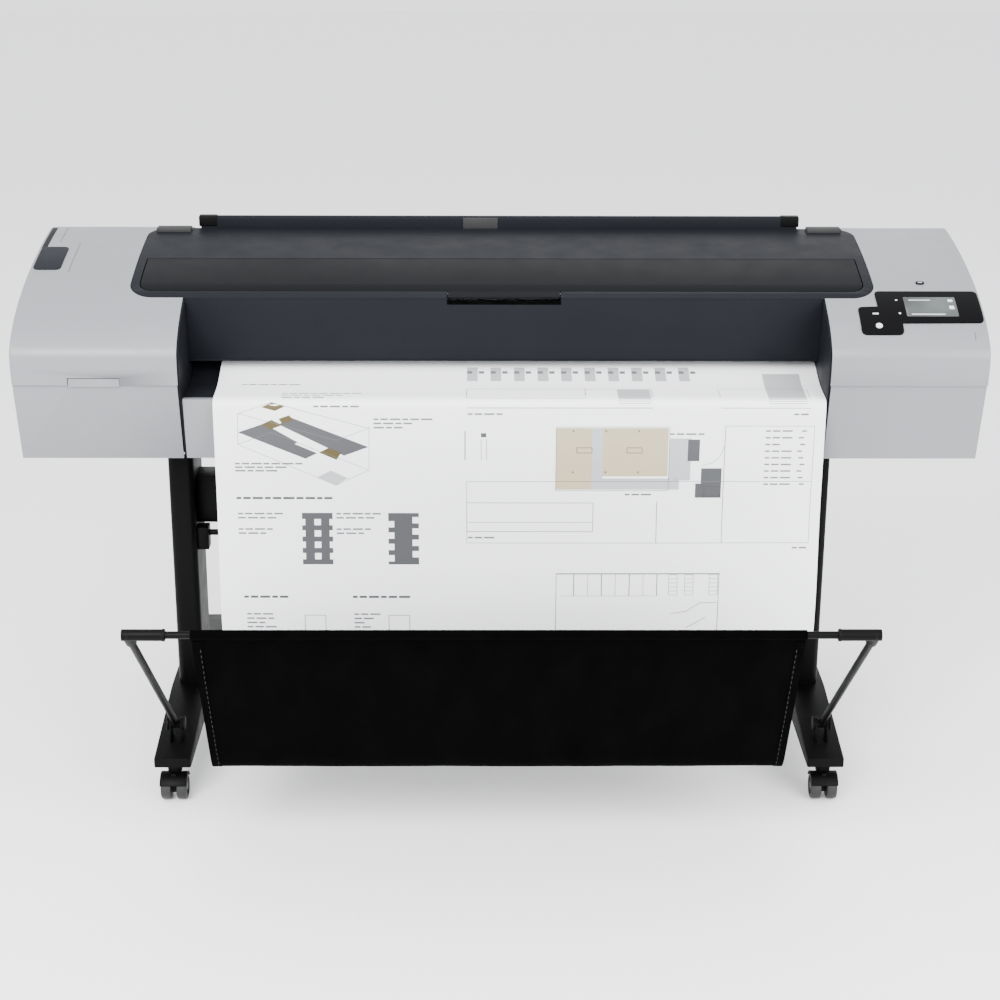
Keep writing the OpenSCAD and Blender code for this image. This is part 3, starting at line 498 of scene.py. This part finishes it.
def top_normal(y):
    slope = (top_z(y + 1) - top_z(y - 1)) / 2
    n = math.hypot(1, slope)
    return -slope / n, 1 / n


def span(rects, y):
    """Left and right end of a union of rounded rectangles at y."""
    lows, highs = [], []
    for x0, x1, y0, y1, r in rects:
        if y0 - 1e-6 <= y <= y1 + 1e-6:
            d = max(y0 + r - y, y - (y1 - r), 0)
            inset = r - math.sqrt(max(r * r - d * d, 0))
            lows.append(x0 + inset)
            highs.append(x1 - inset)
    return min(lows), max(highs)


def top_plate(name, rects, low, high, material, rows=48, cols=24, edge=0.4):
    """A thin plate that follows the top skin, from low to high mm above it."""
    y_low = min(r[2] for r in rects)
    y_high = max(r[3] for r in rects)
    upper, lower = [], []
    for i in range(rows + 1):
        # rows close up towards rounded ends, and are even on a stepped plate
        if len(rects) > 1:
            y = y_low + (y_high - y_low) * i / rows
        else:
            y = y_low + (y_high - y_low) * (1 - math.cos(math.pi * i / rows)) / 2
        x0, x1 = span(rects, y)
        ny, nz = top_normal(y)
        row = [x0 + (x1 - x0) * j / cols for j in range(cols + 1)]
        upper.append([at(x, y + ny * high, top_z(y) + nz * high) for x in row])
        lower.append([at(x, y + ny * low, top_z(y) + nz * low) for x in row])
    bm = thick_grid(upper, lower)
    if edge:
        bevel(bm, edge, 60, lambda e: e.calc_length() > 0.0002, 2)
    return to_object(bm, name, material, "machine")


# ---- covers and frame ----
def on_outer_side(edge):
    """Whether an edge lies in the outer side face of a wing."""
    return all(abs(abs(v.co.x) - cad_high.x) < 0.00005 for v in edge.verts)


CORNERS = ("front_left", "front_right", "rear_left", "rear_right")


def make_shells():
    """Rounded shells in place of the CAD nodes; widths of their edges in mm."""
    for node in ("wing_left", "wing_right"):
        softened(node, 0.9, (on_outer_side, 5.0))
    for node in ("ink_door", "right_lower_cover"):
        softened(node, 0.9, (on_outer_side, 4.0))
    widths = {
        "lower_front_panel": 1.3, "rear_cover": 0.8, "window_frame": 0.7, "window": 0.7,
        "output_shelf": 0.8, "inner_walls": 0.7, "roll_cover": 0.9, "legs": 0.8,
        "feet": 3.0, "cross_beam": 0.8, "spindle_cradles": 0.8, "basket_brackets": 0.8,
        "ink_bay": 0.8, "maintenance_cartridge": 2.0, "maintenance_door": 0.7,
        "carriage": 1.2, "printheads": 0.8, "service_station": 1.0, "print_platen": 0.6,
        "drive_motors": 0.8, "rear_sockets": 0.4, "power_switch": 0.6, "chassis": 0.5,
        "main_beam": 0.6, "spindle": 0.6, "basket_arms": 0.6, "basket_front_rod": 0.0,
        "carriage_rails": 0.0, "drive_roller": 0.4, "pinch_rollers": 0.4, "paper_roll": 0.0,
        "power_button": 0.5,
    }
    for k in range(1, 7):
        widths["ink_cartridge_%d" % k] = 1.5
    for corner in CORNERS:
        widths["caster_fork_" + corner] = 0.8
    for node, width in widths.items():
        softened(node, width)


SEAT = 0.05  # plates start this far above the CAD skin, in mm
BEZEL_TOP = 2.0
GLASS_TOP = 2.8


def make_panel():
    """Stepped gloss bezel with its screen, lamps and small data port."""
    bezel_steps = [(691, 880, 52, 138, 9), (654, 731, 28, 91, 9)]
    bezel = top_plate(
        "control_bezel", bezel_steps, SEAT, BEZEL_TOP, "bezel_gloss", 110, 40, 0.5
    )
    port, slot = (774, 790, 163, 173, 4.9), (778, 786, 166, 170, 1)
    top_plate("data_port", [port], SEAT, BEZEL_TOP, "bezel_gloss", 16, 10)
    top_plate("data_port_slot", [slot], BEZEL_TOP, 2.4, "steel", 6, 6, 0)
    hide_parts("control_panel")
    screen = (741, 836, 66, 118, 2)
    glass = top_plate("touch_glass", [screen], BEZEL_TOP + SEAT, GLASS_TOP, "screen", 16, 16)
    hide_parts("touch_screen")
    lamps = [
        ("status_lamp", (679, 690, 71.5, 74.5, 1)),
        ("lamp_rear", (726, 730, 108, 112, 1.9)),
        ("lamp_front", (727, 731, 72, 76, 1.9)),
    ]
    for name, shape in lamps:
        top_plate(name, [shape], BEZEL_TOP, 2.3, "lamp_white", 8, 8, 0)
    icons = [(822, 831, 104, 111), (822, 831, 84, 93), (750, 812, 70, 72), (750, 790, 108, 110)]
    for k, icon in enumerate(icons):
        name = "screen_icon_%d" % k
        top_plate(name, [(*icon, 0.8)], GLASS_TOP, 2.9, "lamp_white", 4, 4, 0)


def make_badge():
    """Plain badge with its strip, and the fine lines let into the top."""
    plate, strip = (-878, -826, 215, 317, 10), (-879, -869, 312, 428, 2)
    badge = top_plate("badge_plate", [plate], SEAT, 1.5, "badge_gloss")
    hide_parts("badge")
    top_plate("badge_strip", [strip], SEAT, 0.8, "bezel_gloss", 24, 4, 0.2)
    for k, (x, y0, y1) in enumerate([(-809, 207, 340), (-849, 346, 428)]):
        line = (x - 1, x + 1, y0, y1, 0.9)
        top_plate("inlay_line_%d" % k, [line], 0.02, 0.25, "ink_line", 24, 2, 0)
    top_plate("panel_mark", [(858, 860, 20, 34, 0.9)], 0.02, 0.25, "ink_line", 8, 2, 0)


def make_front_lip():
    """Dark strip along the lower edge of the front face."""
    lip = block(at(-580, 134.5, 838.4), at(594, 139.5, 841.2), 0.5)
    to_object(lip, "front_face_lip", "dark_plastic", "machine")


def make_rear_details():
    """End pads beside the roll cover and its black grip and end caps."""
    for side in (-1, 1):
        x0, x1 = sorted((side * 604, side * 672))
        pad = block(at(x0, 404, 1021), at(x1, 428, 1033), 3)
        to_object(pad, "top_pad_" + side_name(side), "seam_black", "machine")
        x0, x1 = sorted((side * 556, side * 592))
        cap = block(at(x0, 430.5, 1030), at(x1, 450, 1051), 2.5)
        to_object(cap, "cover_cap_" + side_name(side), "black_plastic", "roll_cover")
    grip = block(at(-72, 429.5, 1026), at(-3, 434, 1048), 1.2)
    to_object(grip, "cover_grip", "seam_black", "roll_cover")


# ---- the printed sheet ----
SHEET_PATH = (
    (525.5, 879.5), (480, 867.5), (400, 848), (338, 832.8), (330, 830.8), (316, 830.7),
    (188, 830.6), (170, 827), (150, 820.5), (125, 812), (100, 805.5), (75, 802), (48, 800.3),
    (34, 799.9), (26, 798.8), (19, 796.5), (14.5, 791.5), (12.6, 785), (12.3, 765),
    (12.5, 700), (14.5, 620), (11.5, 540), (5.5, 470), (3.5, 410), (5.5, 365), (8.5, 330),
)
SLOT_Y = 188  # the platen's front; s is counted from here
SHEET_STEP = 5.0
SHEET_COLUMNS = 70
SHEET_THICKNESS = 0.2
FREE_FROM, FREE_OVER = 210, 300  # the sheet hangs free from this s, fully so after 300 mm more


class Sheet:
    """The paper's surface: x across in mm, s along it in mm, counted from the platen's front."""

    def __init__(self):
        self.path, self.length = curve_through(SHEET_PATH, SHEET_STEP)
        self.step = self.length / (len(self.path) - 1)
        before = [i for i, p in enumerate(self.path) if p[0] > SLOT_Y]
        self.start = before[-1] * self.step
        box_low, box_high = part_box("paper_sheet")
        self.left, self.right = box_low.x / MM, box_high.x / MM

    def wave(self, x, s):
        """Slow waviness of the free part, in mm."""
        free = min(max((s - FREE_FROM) / FREE_OVER, 0), 1)
        edge = abs(2 * (x - self.left) / (self.right - self.left) - 1) ** 4
        return free * (1.3 * math.sin(x / 150 + 0.6) * math.sin(s / 190) - 2.2 * edge)

    def point(self, x, s, lift=0.0):
        u = min(max((s + self.start) / self.step, 0), len(self.path) - 1.000001)
        i = int(u)
        t = u - i
        y, z = (self.path[i][c] * (1 - t) + self.path[i + 1][c] * t for c in (0, 1))
        ny, nz = sideways(self.path, i)
        lift = lift + self.wave(x, s)
        return at(x, y - ny * lift, z - nz * lift)


def make_sheet(sheet):
    width = sheet.right - sheet.left
    columns = [sheet.left + width * j / SHEET_COLUMNS for j in range(SHEET_COLUMNS + 1)]
    rows = [i * sheet.step - sheet.start for i in range(len(sheet.path))]
    upper = [[sheet.point(x, s, SHEET_THICKNESS / 2) for x in columns] for s in rows]
    lower = [[sheet.point(x, s, -SHEET_THICKNESS / 2) for x in columns] for s in rows]
    paper = to_object(thick_grid(upper, lower), "printed_sheet", "paper", "machine")
    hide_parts("paper_sheet")
    return paper


CELL_ACROSS, CELL_ALONG = 16, 5  # the largest cells of an ink patch, in mm


def strip_mesh(sheet, quads, lift):
    """Ink patches: each quad is four (x, s) corners, cut up so that it follows the sheet."""
    bm = bmesh.new()
    for a, b, c, d in quads:
        across = max(1, math.ceil(max(math.dist(a, b), math.dist(d, c)) / CELL_ACROSS))
        along = max(1, math.ceil(max(math.dist(a, d), math.dist(b, c)) / CELL_ALONG))
        grid = []
        for i in range(along + 1):
            v = i / along
            row = []
            for j in range(across + 1):
                u = j / across
                x = (a[0] * (1 - u) + b[0] * u) * (1 - v) + (d[0] * (1 - u) + c[0] * u) * v
                s = (a[1] * (1 - u) + b[1] * u) * (1 - v) + (d[1] * (1 - u) + c[1] * u) * v
                row.append(bm.verts.new(sheet.point(x, s, lift)))
            grid.append(row)
        for i in range(along):
            for j in range(across):
                bm.faces.new((grid[i][j], grid[i][j + 1], grid[i + 1][j + 1], grid[i + 1][j]))
    return bm


def rect(x0, x1, s0, s1):
    return (x0, s0), (x1, s0), (x1, s1), (x0, s1)


def stroke(x0, s0, x1, s1, w=1.2):
    """A line as a thin quad."""
    n = math.dist((x0, s0), (x1, s1))
    px, ps = -(s1 - s0) / n * w / 2, (x1 - x0) / n * w / 2
    return (x0 + px, s0 + ps), (x1 + px, s1 + ps), (x1 - px, s1 - ps), (x0 - px, s0 - ps)


def outline(x0, x1, s0, s1, w=1.2):
    return [
        stroke(x0, s0, x1, s0, w), stroke(x1, s0, x1, s1, w),
        stroke(x1, s1, x0, s1, w), stroke(x0, s1, x0, s0, w),
    ]


def bars(x0, s0, lines, width, pitch=9, height=3.2):
    """Rows of short bars in place of text."""
    made = []
    for row in range(lines):
        x, k = x0, row
        while x < x0 + width * (1 - 0.22 * ((row * 7) % 3)):
            length = 9 + (k * 5) % 13
            made.append(rect(x, x + length, s0 + row * pitch, s0 + row * pitch + height))
            x += length + 3.5
            k += 1
    return made


PRINT_END = 644  # nothing is printed beyond this s
# height above the sheet's middle; what lies over another ink is higher
INK_LIFT = {
    "pale": 0.20, "beige": 0.21, "grey": 0.24, "ochre": 0.27, "white": 0.30,
    "line": 0.33, "text": 0.33,
}


def make_print(sheet):
    """A generic drawing: plans, slabs, tables, and bars in place of words."""
    art = {key: [] for key in INKS}
    # slanted slabs, upper left
    art["grey"] += [
        ((-480, 237), (-432, 220), (-336, 277), (-358, 288)),
        ((-405, 222), (-383, 208), (-242, 265), (-287, 282)),
    ]
    art["ochre"] += [
        ((-436, 189), (-416, 180), (-392, 187), (-411, 196)),
        ((-405, 211), (-385, 204), (-378, 214), (-399, 220)),
        ((-437, 222), (-418, 213), (-398, 223), (-420, 231)),
        ((-333, 276), (-316, 267), (-292, 276), (-301, 290)),
    ]
    art["pale"].append(((-337, 324), (-312, 311), (-281, 326), (-303, 340)))
    art["white"].append(((-377, 259), (-362, 252), (-321, 268), (-336, 277)))
    for corners in (
        ((-478, 201), (-418, 180), (-241, 229), (-301, 252)),
        ((-481, 260), (-419, 237), (-242, 310), (-303, 340)),
    ):
        for k in range(4):
            art["line"].append(stroke(*corners[k], *corners[(k + 1) % 4], 0.8))
    art["line"] += [stroke(-479, 201, -481, 260, 0.8), stroke(-240, 224, -242, 311, 0.8)]
    art["text"] += bars(-478, 99, 1, 96) + bars(-400, 143, 3, 128, 11) + bars(-341, 186, 1, 84)
    art["text"] += bars(-232, 210, 3, 88, 8) + bars(-488, 296, 3, 120, 7)
    art["grey"] += bars(-488, 363, 1, 178, 9, 4.5)
    # two notched blocks
    for x, caption in ((-368, -486), (-208, -304)):
        art["text"] += bars(caption, 394, 2, 78, 8) + bars(caption, 424, 2, 56, 8)
        art["grey"].append(rect(x, x + 57, 394, 494))
        for k in range(4):
            s = 406 + k * 22
            if x == -368:
                art["white"] += [rect(x - 1, x + 6, s, s + 12), rect(x + 51, x + 58, s, s + 12)]
                art["white"].append(rect(x + 23, x + 35, s, s + 12))
            else:
                art["white"].append(rect(x - 1, x + 11, s + 4, s + 16))
                art["white"].append(rect(x + 45, x + 58, s - 4, s + 8))
    art["grey"] += bars(-480, 556, 1, 86, 9, 4.5) + bars(-276, 556, 1, 98, 9, 4.5)
    art["text"] += bars(-476, 592, 4, 52, 9) + bars(-274, 592, 4, 34, 9)
    for x in (-367, -209):
        art["line"] += outline(x, x + 39, 596, 634)
    # elevations along the slot
    art["pale"] += [rect(-62 + k * 44, -42 + k * 44, 40, 86) for k in range(10)]
    art["text"] += [rect(-62 + k * 22, -52 + k * 22, 52, 60) for k in range(20)]
    art["pale"] += [rect(490, 560, 60, 186), rect(215, 275, 122, 186)]
    art["line"] += outline(-62, 278, 120, 190) + outline(-62, 156, 120, 168)
    art["line"] += outline(402, 566, 120, 190, 0.9)
    art["text"] += bars(-60, 200, 1, 60, 9) + bars(536, 200, 1, 26, 9)
    # floor plan with rooms
    art["beige"] += [rect(102, 168, 228, 348), rect(188, 308, 228, 322)]
    art["pale"] += [rect(168, 188, 228, 348), rect(310, 350, 248, 330), rect(188, 330, 326, 348)]
    art["grey"] += [rect(344, 366, 250, 292), rect(370, 408, 306, 364), rect(360, 408, 336, 364)]
    art["line"] += outline(102, 310, 226, 350, 1.0)
    for x in (140, 232):
        art["line"] += outline(x, x + 28, 266, 276, 1.6)
    for k in range(3):
        art["line"] += [rect(132 + 60 * k, 135 + 60 * k, s, s + 4) for s in (232, 312)]
    for i in range(8):
        a0, a1 = (math.radians(90 * k / 8) for k in (i, i + 1))
        art["line"].append(
            stroke(370 + 40 * math.sin(a0), 262 + 38 * math.cos(a0),
                   370 + 40 * math.sin(a1), 262 + 38 * math.cos(a1), 0.9)
        )
    art["text"] += bars(230, 356, 1, 34, 9) + bars(310, 238, 1, 60, 9)
    art["grey"] += [rect(-36, -26, 238, 246)]
    art["text"] += [rect(-66, -64, 234, 290), rect(-36, -35, 250, 290), rect(-26, -25, 250, 290)]
    # frames and table, right
    art["line"] += outline(-62, 172, 374, 430) + outline(-62, 575, 332, 452, 0.9)
    art["line"] += [stroke(-62, 412, 172, 412, 0.9), stroke(290, 372, 290, 452)]
    art["line"].append(stroke(412, 224, 412, 452))
    art["line"] += outline(412, 575, 224, 452, 0.9)
    for row in range(9):
        art["text"] += bars(486, 232 + row * 13, 1, 44 - (row * 7) % 16, 9, 3)
        art["text"] += bars(552 - (row * 5) % 8, 232 + row * 13, 1, 12, 9, 3)
    art["text"] += bars(-60, 440, 1, 34, 9) + bars(545, 460, 1, 22, 9)
    # plan at the bottom
    art["line"] += [stroke(105, 512, 412, 512, 2.2), stroke(105, 512, 105, 642)]
    art["line"].append(stroke(410, 512, 410, 642))
    for k in range(7):
        x = 138 + k * 26
        art["line"].append(stroke(x, 512, x, 556, 0.8 + 0.8 * (k % 2 == 0)))
    art["line"].append(stroke(112, 556, 294, 556, 0.8))
    for x in (316, 346, 392):
        art["line"] += outline(x, x + 16, 514, 554, 0.8)
        art["line"] += [stroke(x, 522 + 8 * k, x + 16, 522 + 8 * k, 0.8) for k in range(4)]
    art["line"] += [stroke(322, 592, 350, 588), stroke(350, 588, 376, 570)]
    art["line"] += [stroke(376, 570, 408, 570), stroke(352, 622, 388, 600)]
    pieces = []
    for key, quads in art.items():
        kept = [q for q in quads if max(s for _, s in q) < PRINT_END]
        bm = strip_mesh(sheet, kept, INK_LIFT[key])
        pieces.append(to_object(bm, "print_" + key, "ink_" + key, "machine"))
    return pieces


# ---- the basket ----
ROD_FRONT = (-398, 512)
ROD_REAR = (262, 450)
CLOTH_PATH = (
    (-391, 503.5), (-372, 462), (-340, 398), (-300, 322), (-262, 252), (-238, 206),
    (-226, 186), (-212, 174), (-192, 170), (-165, 178), (-120, 204), (-60, 240), (0, 274),
    (70, 316), (140, 360), (205, 404), (254, 439), (260, 441.5),
)
CLOTH_T = 1.1
HEM_T, HEM_WIDTH = 0.7, 16
FRONT_SLEEVE = (8.2, 330, -20)  # radius, start and end angle round the rod
REAR_SLEEVE = (7.6, 262, -70)
SAG = 3.5


def cloth_offset(x, y, z, low, high):
    """How far the cloth stands off its plain path, in mm: sag and soft folds."""
    u = (x - low) / (high - low)
    free = min(1, max(0, (505 - z) / 60)) * min(1, max(0, (z - 165) / 40))
    edge = math.sin(math.pi * min(max(u, 0), 1))
    ripple = noise.noise(Vector((x / 95, y / 210, z / 260))) * 3.0
    fine = noise.noise(Vector((x / 34, y / 120, z / 120 + 7))) * 0.9
    return free * (ripple + fine - SAG * edge)


def cloth_point(path, i, x, low, high, lift):
    y, z = path[i]
    ny, nz = sideways(path, i)
    off = lift + cloth_offset(x, y, z, low, high)
    return at(x, y + ny * off, z + nz * off)


def with_uv(piece, values):
    """Gives a grid piece UVs in metres, from its vertices' own (u, v)."""
    layer = piece.data.uv_layers.new(name="UVMap")
    for loop in piece.data.loops:
        layer.data[loop.index].uv = values[loop.vertex_index]


def rod_wrap(centre, radius, start, end, steps=16):
    """Arc of (y, z) points round a rod, angles in degrees."""
    angles = [math.radians(start + (end - start) * k / steps) for k in range(steps + 1)]
    return [(centre[0] + radius * math.cos(a), centre[1] + radius * math.sin(a)) for a in angles]


def cloth_strip(name, path, x0, x1, columns, thickness, lift, low, high):
    """A grid of cloth along a path, with UVs."""
    xs = [x0 + (x1 - x0) * j / columns for j in range(columns + 1)]
    upper, lower = [], []
    for i, (y, z) in enumerate(path):
        ny, nz = sideways(path, i)
        up, down = [], []
        for x in xs:
            off = lift + cloth_offset(x, y, z, low, high)
            up.append(at(x, y + ny * (off + thickness / 2), z + nz * (off + thickness / 2)))
            down.append(at(x, y + ny * (off - thickness / 2), z + nz * (off - thickness / 2)))
        upper.append(up)
        lower.append(down)
    bm = thick_grid(upper, lower)
    piece = to_object(bm, name, "basket_cloth", None, 60)
    step = math.dist(path[0], path[1]) * MM
    side = [(x * MM, i * step) for i in range(len(path)) for x in xs]
    with_uv(piece, side + side)
    return piece


def make_basket():
    box_low, box_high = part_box("basket_fabric")
    low, high = box_low.x / MM, box_high.x / MM
    front = rod_wrap(ROD_FRONT, *FRONT_SLEEVE)
    rear = rod_wrap(ROD_REAR, *REAR_SLEEVE)
    path, length = curve_through(CLOTH_PATH, 7.0)
    whole = front + path + rear
    cloth = cloth_strip("basket_cloth", whole, low, high, 120, CLOTH_T, 0, low, high)
    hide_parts("basket_fabric")
    hems = []
    ends = [(low + 0.5, low + HEM_WIDTH), (high - HEM_WIDTH, high - 0.5)]
    for k, (x0, x1) in enumerate(ends):
        for side in (-1, 1):
            lift = side * (CLOTH_T / 2 + 0.45)
            name = "basket_hem_%d_%s" % (k, "out" if side < 0 else "in")
            hems.append(cloth_strip(name, path[1:-2], x0, x1, 4, HEM_T, lift, low, high))
    # stitches along the hems, on both faces
    bm = bmesh.new()

    for i in range(4, len(path) - 6, 2):
        for x in (low + 13, high - 13):
            for lift in (-1.6, 1.6):
                corners = ((i, x - 0.5), (i, x + 0.5), (i + 1, x + 0.5), (i + 1, x - 0.5))
                points = [cloth_point(path, j, xc, low, high, lift) for j, xc in corners]
                bm.faces.new([bm.verts.new(p) for p in points])
    thread = to_object(bm, "basket_stitches", "thread", None)
    for piece in [cloth, thread, *hems]:
        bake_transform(piece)


ARM_X = 627  # the arms' middle, either side
ARM_PIVOT = (45, 135)


def make_frame_details():
    """Collars and rings at the elbows, and caps on the pivots of the basket's arms."""
    along = Vector((0, ROD_FRONT[0] - ARM_PIVOT[0], ROD_FRONT[1] - ARM_PIVOT[1])).normalized()
    turn = Vector((0, 0, 1)).rotation_difference(along).to_matrix().to_4x4()
    collar = [(-40, 8.4), (-40, 9.2), (-38, 9.9), (-2, 9.9), (4, 9.4), (8, 7), (10, 3)]
    ring = [(-2.5, 9), (-2.5, 10.2), (-1.5, 10.8), (1.5, 10.8), (2.5, 10.2), (2.5, 9)]
    cap = [(-2.5, 9), (-2.5, 12.4), (-1.6, 13.4), (1.6, 13.4), (2.5, 12.4), (2.5, 9)]
    for side in (-1, 1):
        word = side_name(side)
        bm = lathe(collar, Vector((0, 0, 0)), "Z", 36)
        bm.transform(Matrix.Translation(at(side * ARM_X, *ROD_FRONT)) @ turn)
        to_object(bm, "elbow_collar_" + word, "black_plastic", "basket")
        bm = lathe(ring, at(side * (ARM_X - 60), *ROD_FRONT), "X", 36)
        to_object(bm, "elbow_ring_" + word, "black_plastic", "basket")
        for letter, x in (("a", -15.5), ("b", 15.5)):
            bm = lathe(cap, at(side * ARM_X + x, *ARM_PIVOT), "X", 32)
            to_object(bm, "pivot_cap_%s_%s" % (word, letter), "black_plastic", "machine")


TYRE = (
    (5.2, 4), (5.2, 21), (6.2, 23.6), (8.6, 24.9), (22.0, 24.9), (24.4, 23.6),
    (25.4, 21), (25.2, 18.4), (21.8, 17.6), (21.6, 8.5), (24.2, 7.8), (24.4, 4.5),
    (23.6, 2),
)


def join_in(bm, part):
    """Adds one bmesh to another."""
    mesh = bpy.data.meshes.new("part")
    part.to_mesh(mesh)
    part.free()
    bm.from_mesh(mesh)
    bpy.data.meshes.remove(mesh)


def make_casters():
    """Twin wheels with rounded tyres and dished hubs."""
    for corner in CORNERS:
        low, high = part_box("caster_wheels_" + corner)
        centre = (low + high) / 2
        bm = bmesh.new()
        for side in (-1, 1):
            join_in(bm, lathe([(side * a, r) for a, r in TYRE], centre, "X", 56))
        join_in(bm, lathe([(-22, 2.9), (22, 2.9)], centre, "X", 24))
        bmesh.ops.recalc_face_normals(bm, faces=bm.faces)
        wheels = to_object(bm, "twin_wheels_" + corner, "wheel_tyre", "wheels_" + corner)
        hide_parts("caster_wheels_" + corner)


def make_fasteners():
    """Socket-head screws on the rear cover, the legs and the beam."""
    spots = [(x, 604, z, "Y") for x in (-560, -280, 0, 280, 560) for z in (690, 884)]
    for side in (-1, 1):
        spots += [(side * 648, 300, z, "X") for z in (482, 551)]
        spots += [(side * 648, y, 655, "X") for y in (250, 350)]
    head = ((-0.5, 4.2), (1.2, 4.2), (1.9, 3.4), (1.9, 1.9), (0.6, 1.9), (0.6, 0.2))
    for k, (x, y, z, axis) in enumerate(spots):
        sign = 1 if axis == "Y" or x > 0 else -1
        bm = lathe([(sign * a, r) for a, r in head], at(x, y, z), axis, 24)
        to_object(bm, "screw_%02d" % k, "steel", "machine")


# ---- stage ----
FLOOR_HALF = 14
LAMP_TARGET = (0, 0, 0.7)
LAMPS = [
    # name, place, size in metres, power in watts
    ("key", (-1.6, -3.4, 3.2), 2.4, 400),
    ("fill", (2.6, -3.0, 2.4), 2.4, 210),
    ("top", (0.2, -0.4, 3.8), 3.0, 45),
    ("rear", (0.4, 3.6, 2.4), 2.4, 20),
]


def make_stage():
    """Pale floor, even surroundings and four soft lamps."""
    bm = bmesh.new()
    corners = [(-1, -1), (1, -1), (1, 1), (-1, 1)]
    bm.faces.new([bm.verts.new((x * FLOOR_HALF, y * FLOOR_HALF, 0)) for x, y in corners])
    floor = to_object(bm, "studio_floor", "floor")
    world = bpy.data.worlds.new("studio")
    bpy.context.scene.world = world
    world.use_nodes = True
    background = world.node_tree.nodes["Background"]
    background.inputs["Color"].default_value = (0.97, 0.98, 1.0, 1)
    background.inputs["Strength"].default_value = 2.05
    for name, location, size, power in LAMPS:
        data = bpy.data.lights.new(name, "AREA")
        data.shape = "SQUARE"
        data.size = size
        data.energy = power
        lamp = bpy.data.objects.new(name, data)
        lamp.location = location
        aim = Vector(LAMP_TARGET) - lamp.location
        lamp.rotation_euler = aim.to_track_quat("-Z", "Y").to_euler()
        bpy.context.scene.collection.objects.link(lamp)


make_camera()
MATERIALS = make_materials()
for name, thing in nodes.items():
    if not thing.material_slots:
        thing.data.materials.append(None)
    for part in thing.material_slots:
        part.link = "OBJECT"
        part.material = MATERIALS[SLOT_OF[name]]
make_shells()
make_panel()
make_badge()
make_rear_details()
make_front_lip()
printed = Sheet()
paper_piece = make_sheet(printed)
print_pieces = make_print(printed)
make_basket()
make_frame_details()
make_casters()
make_fasteners()
make_stage()
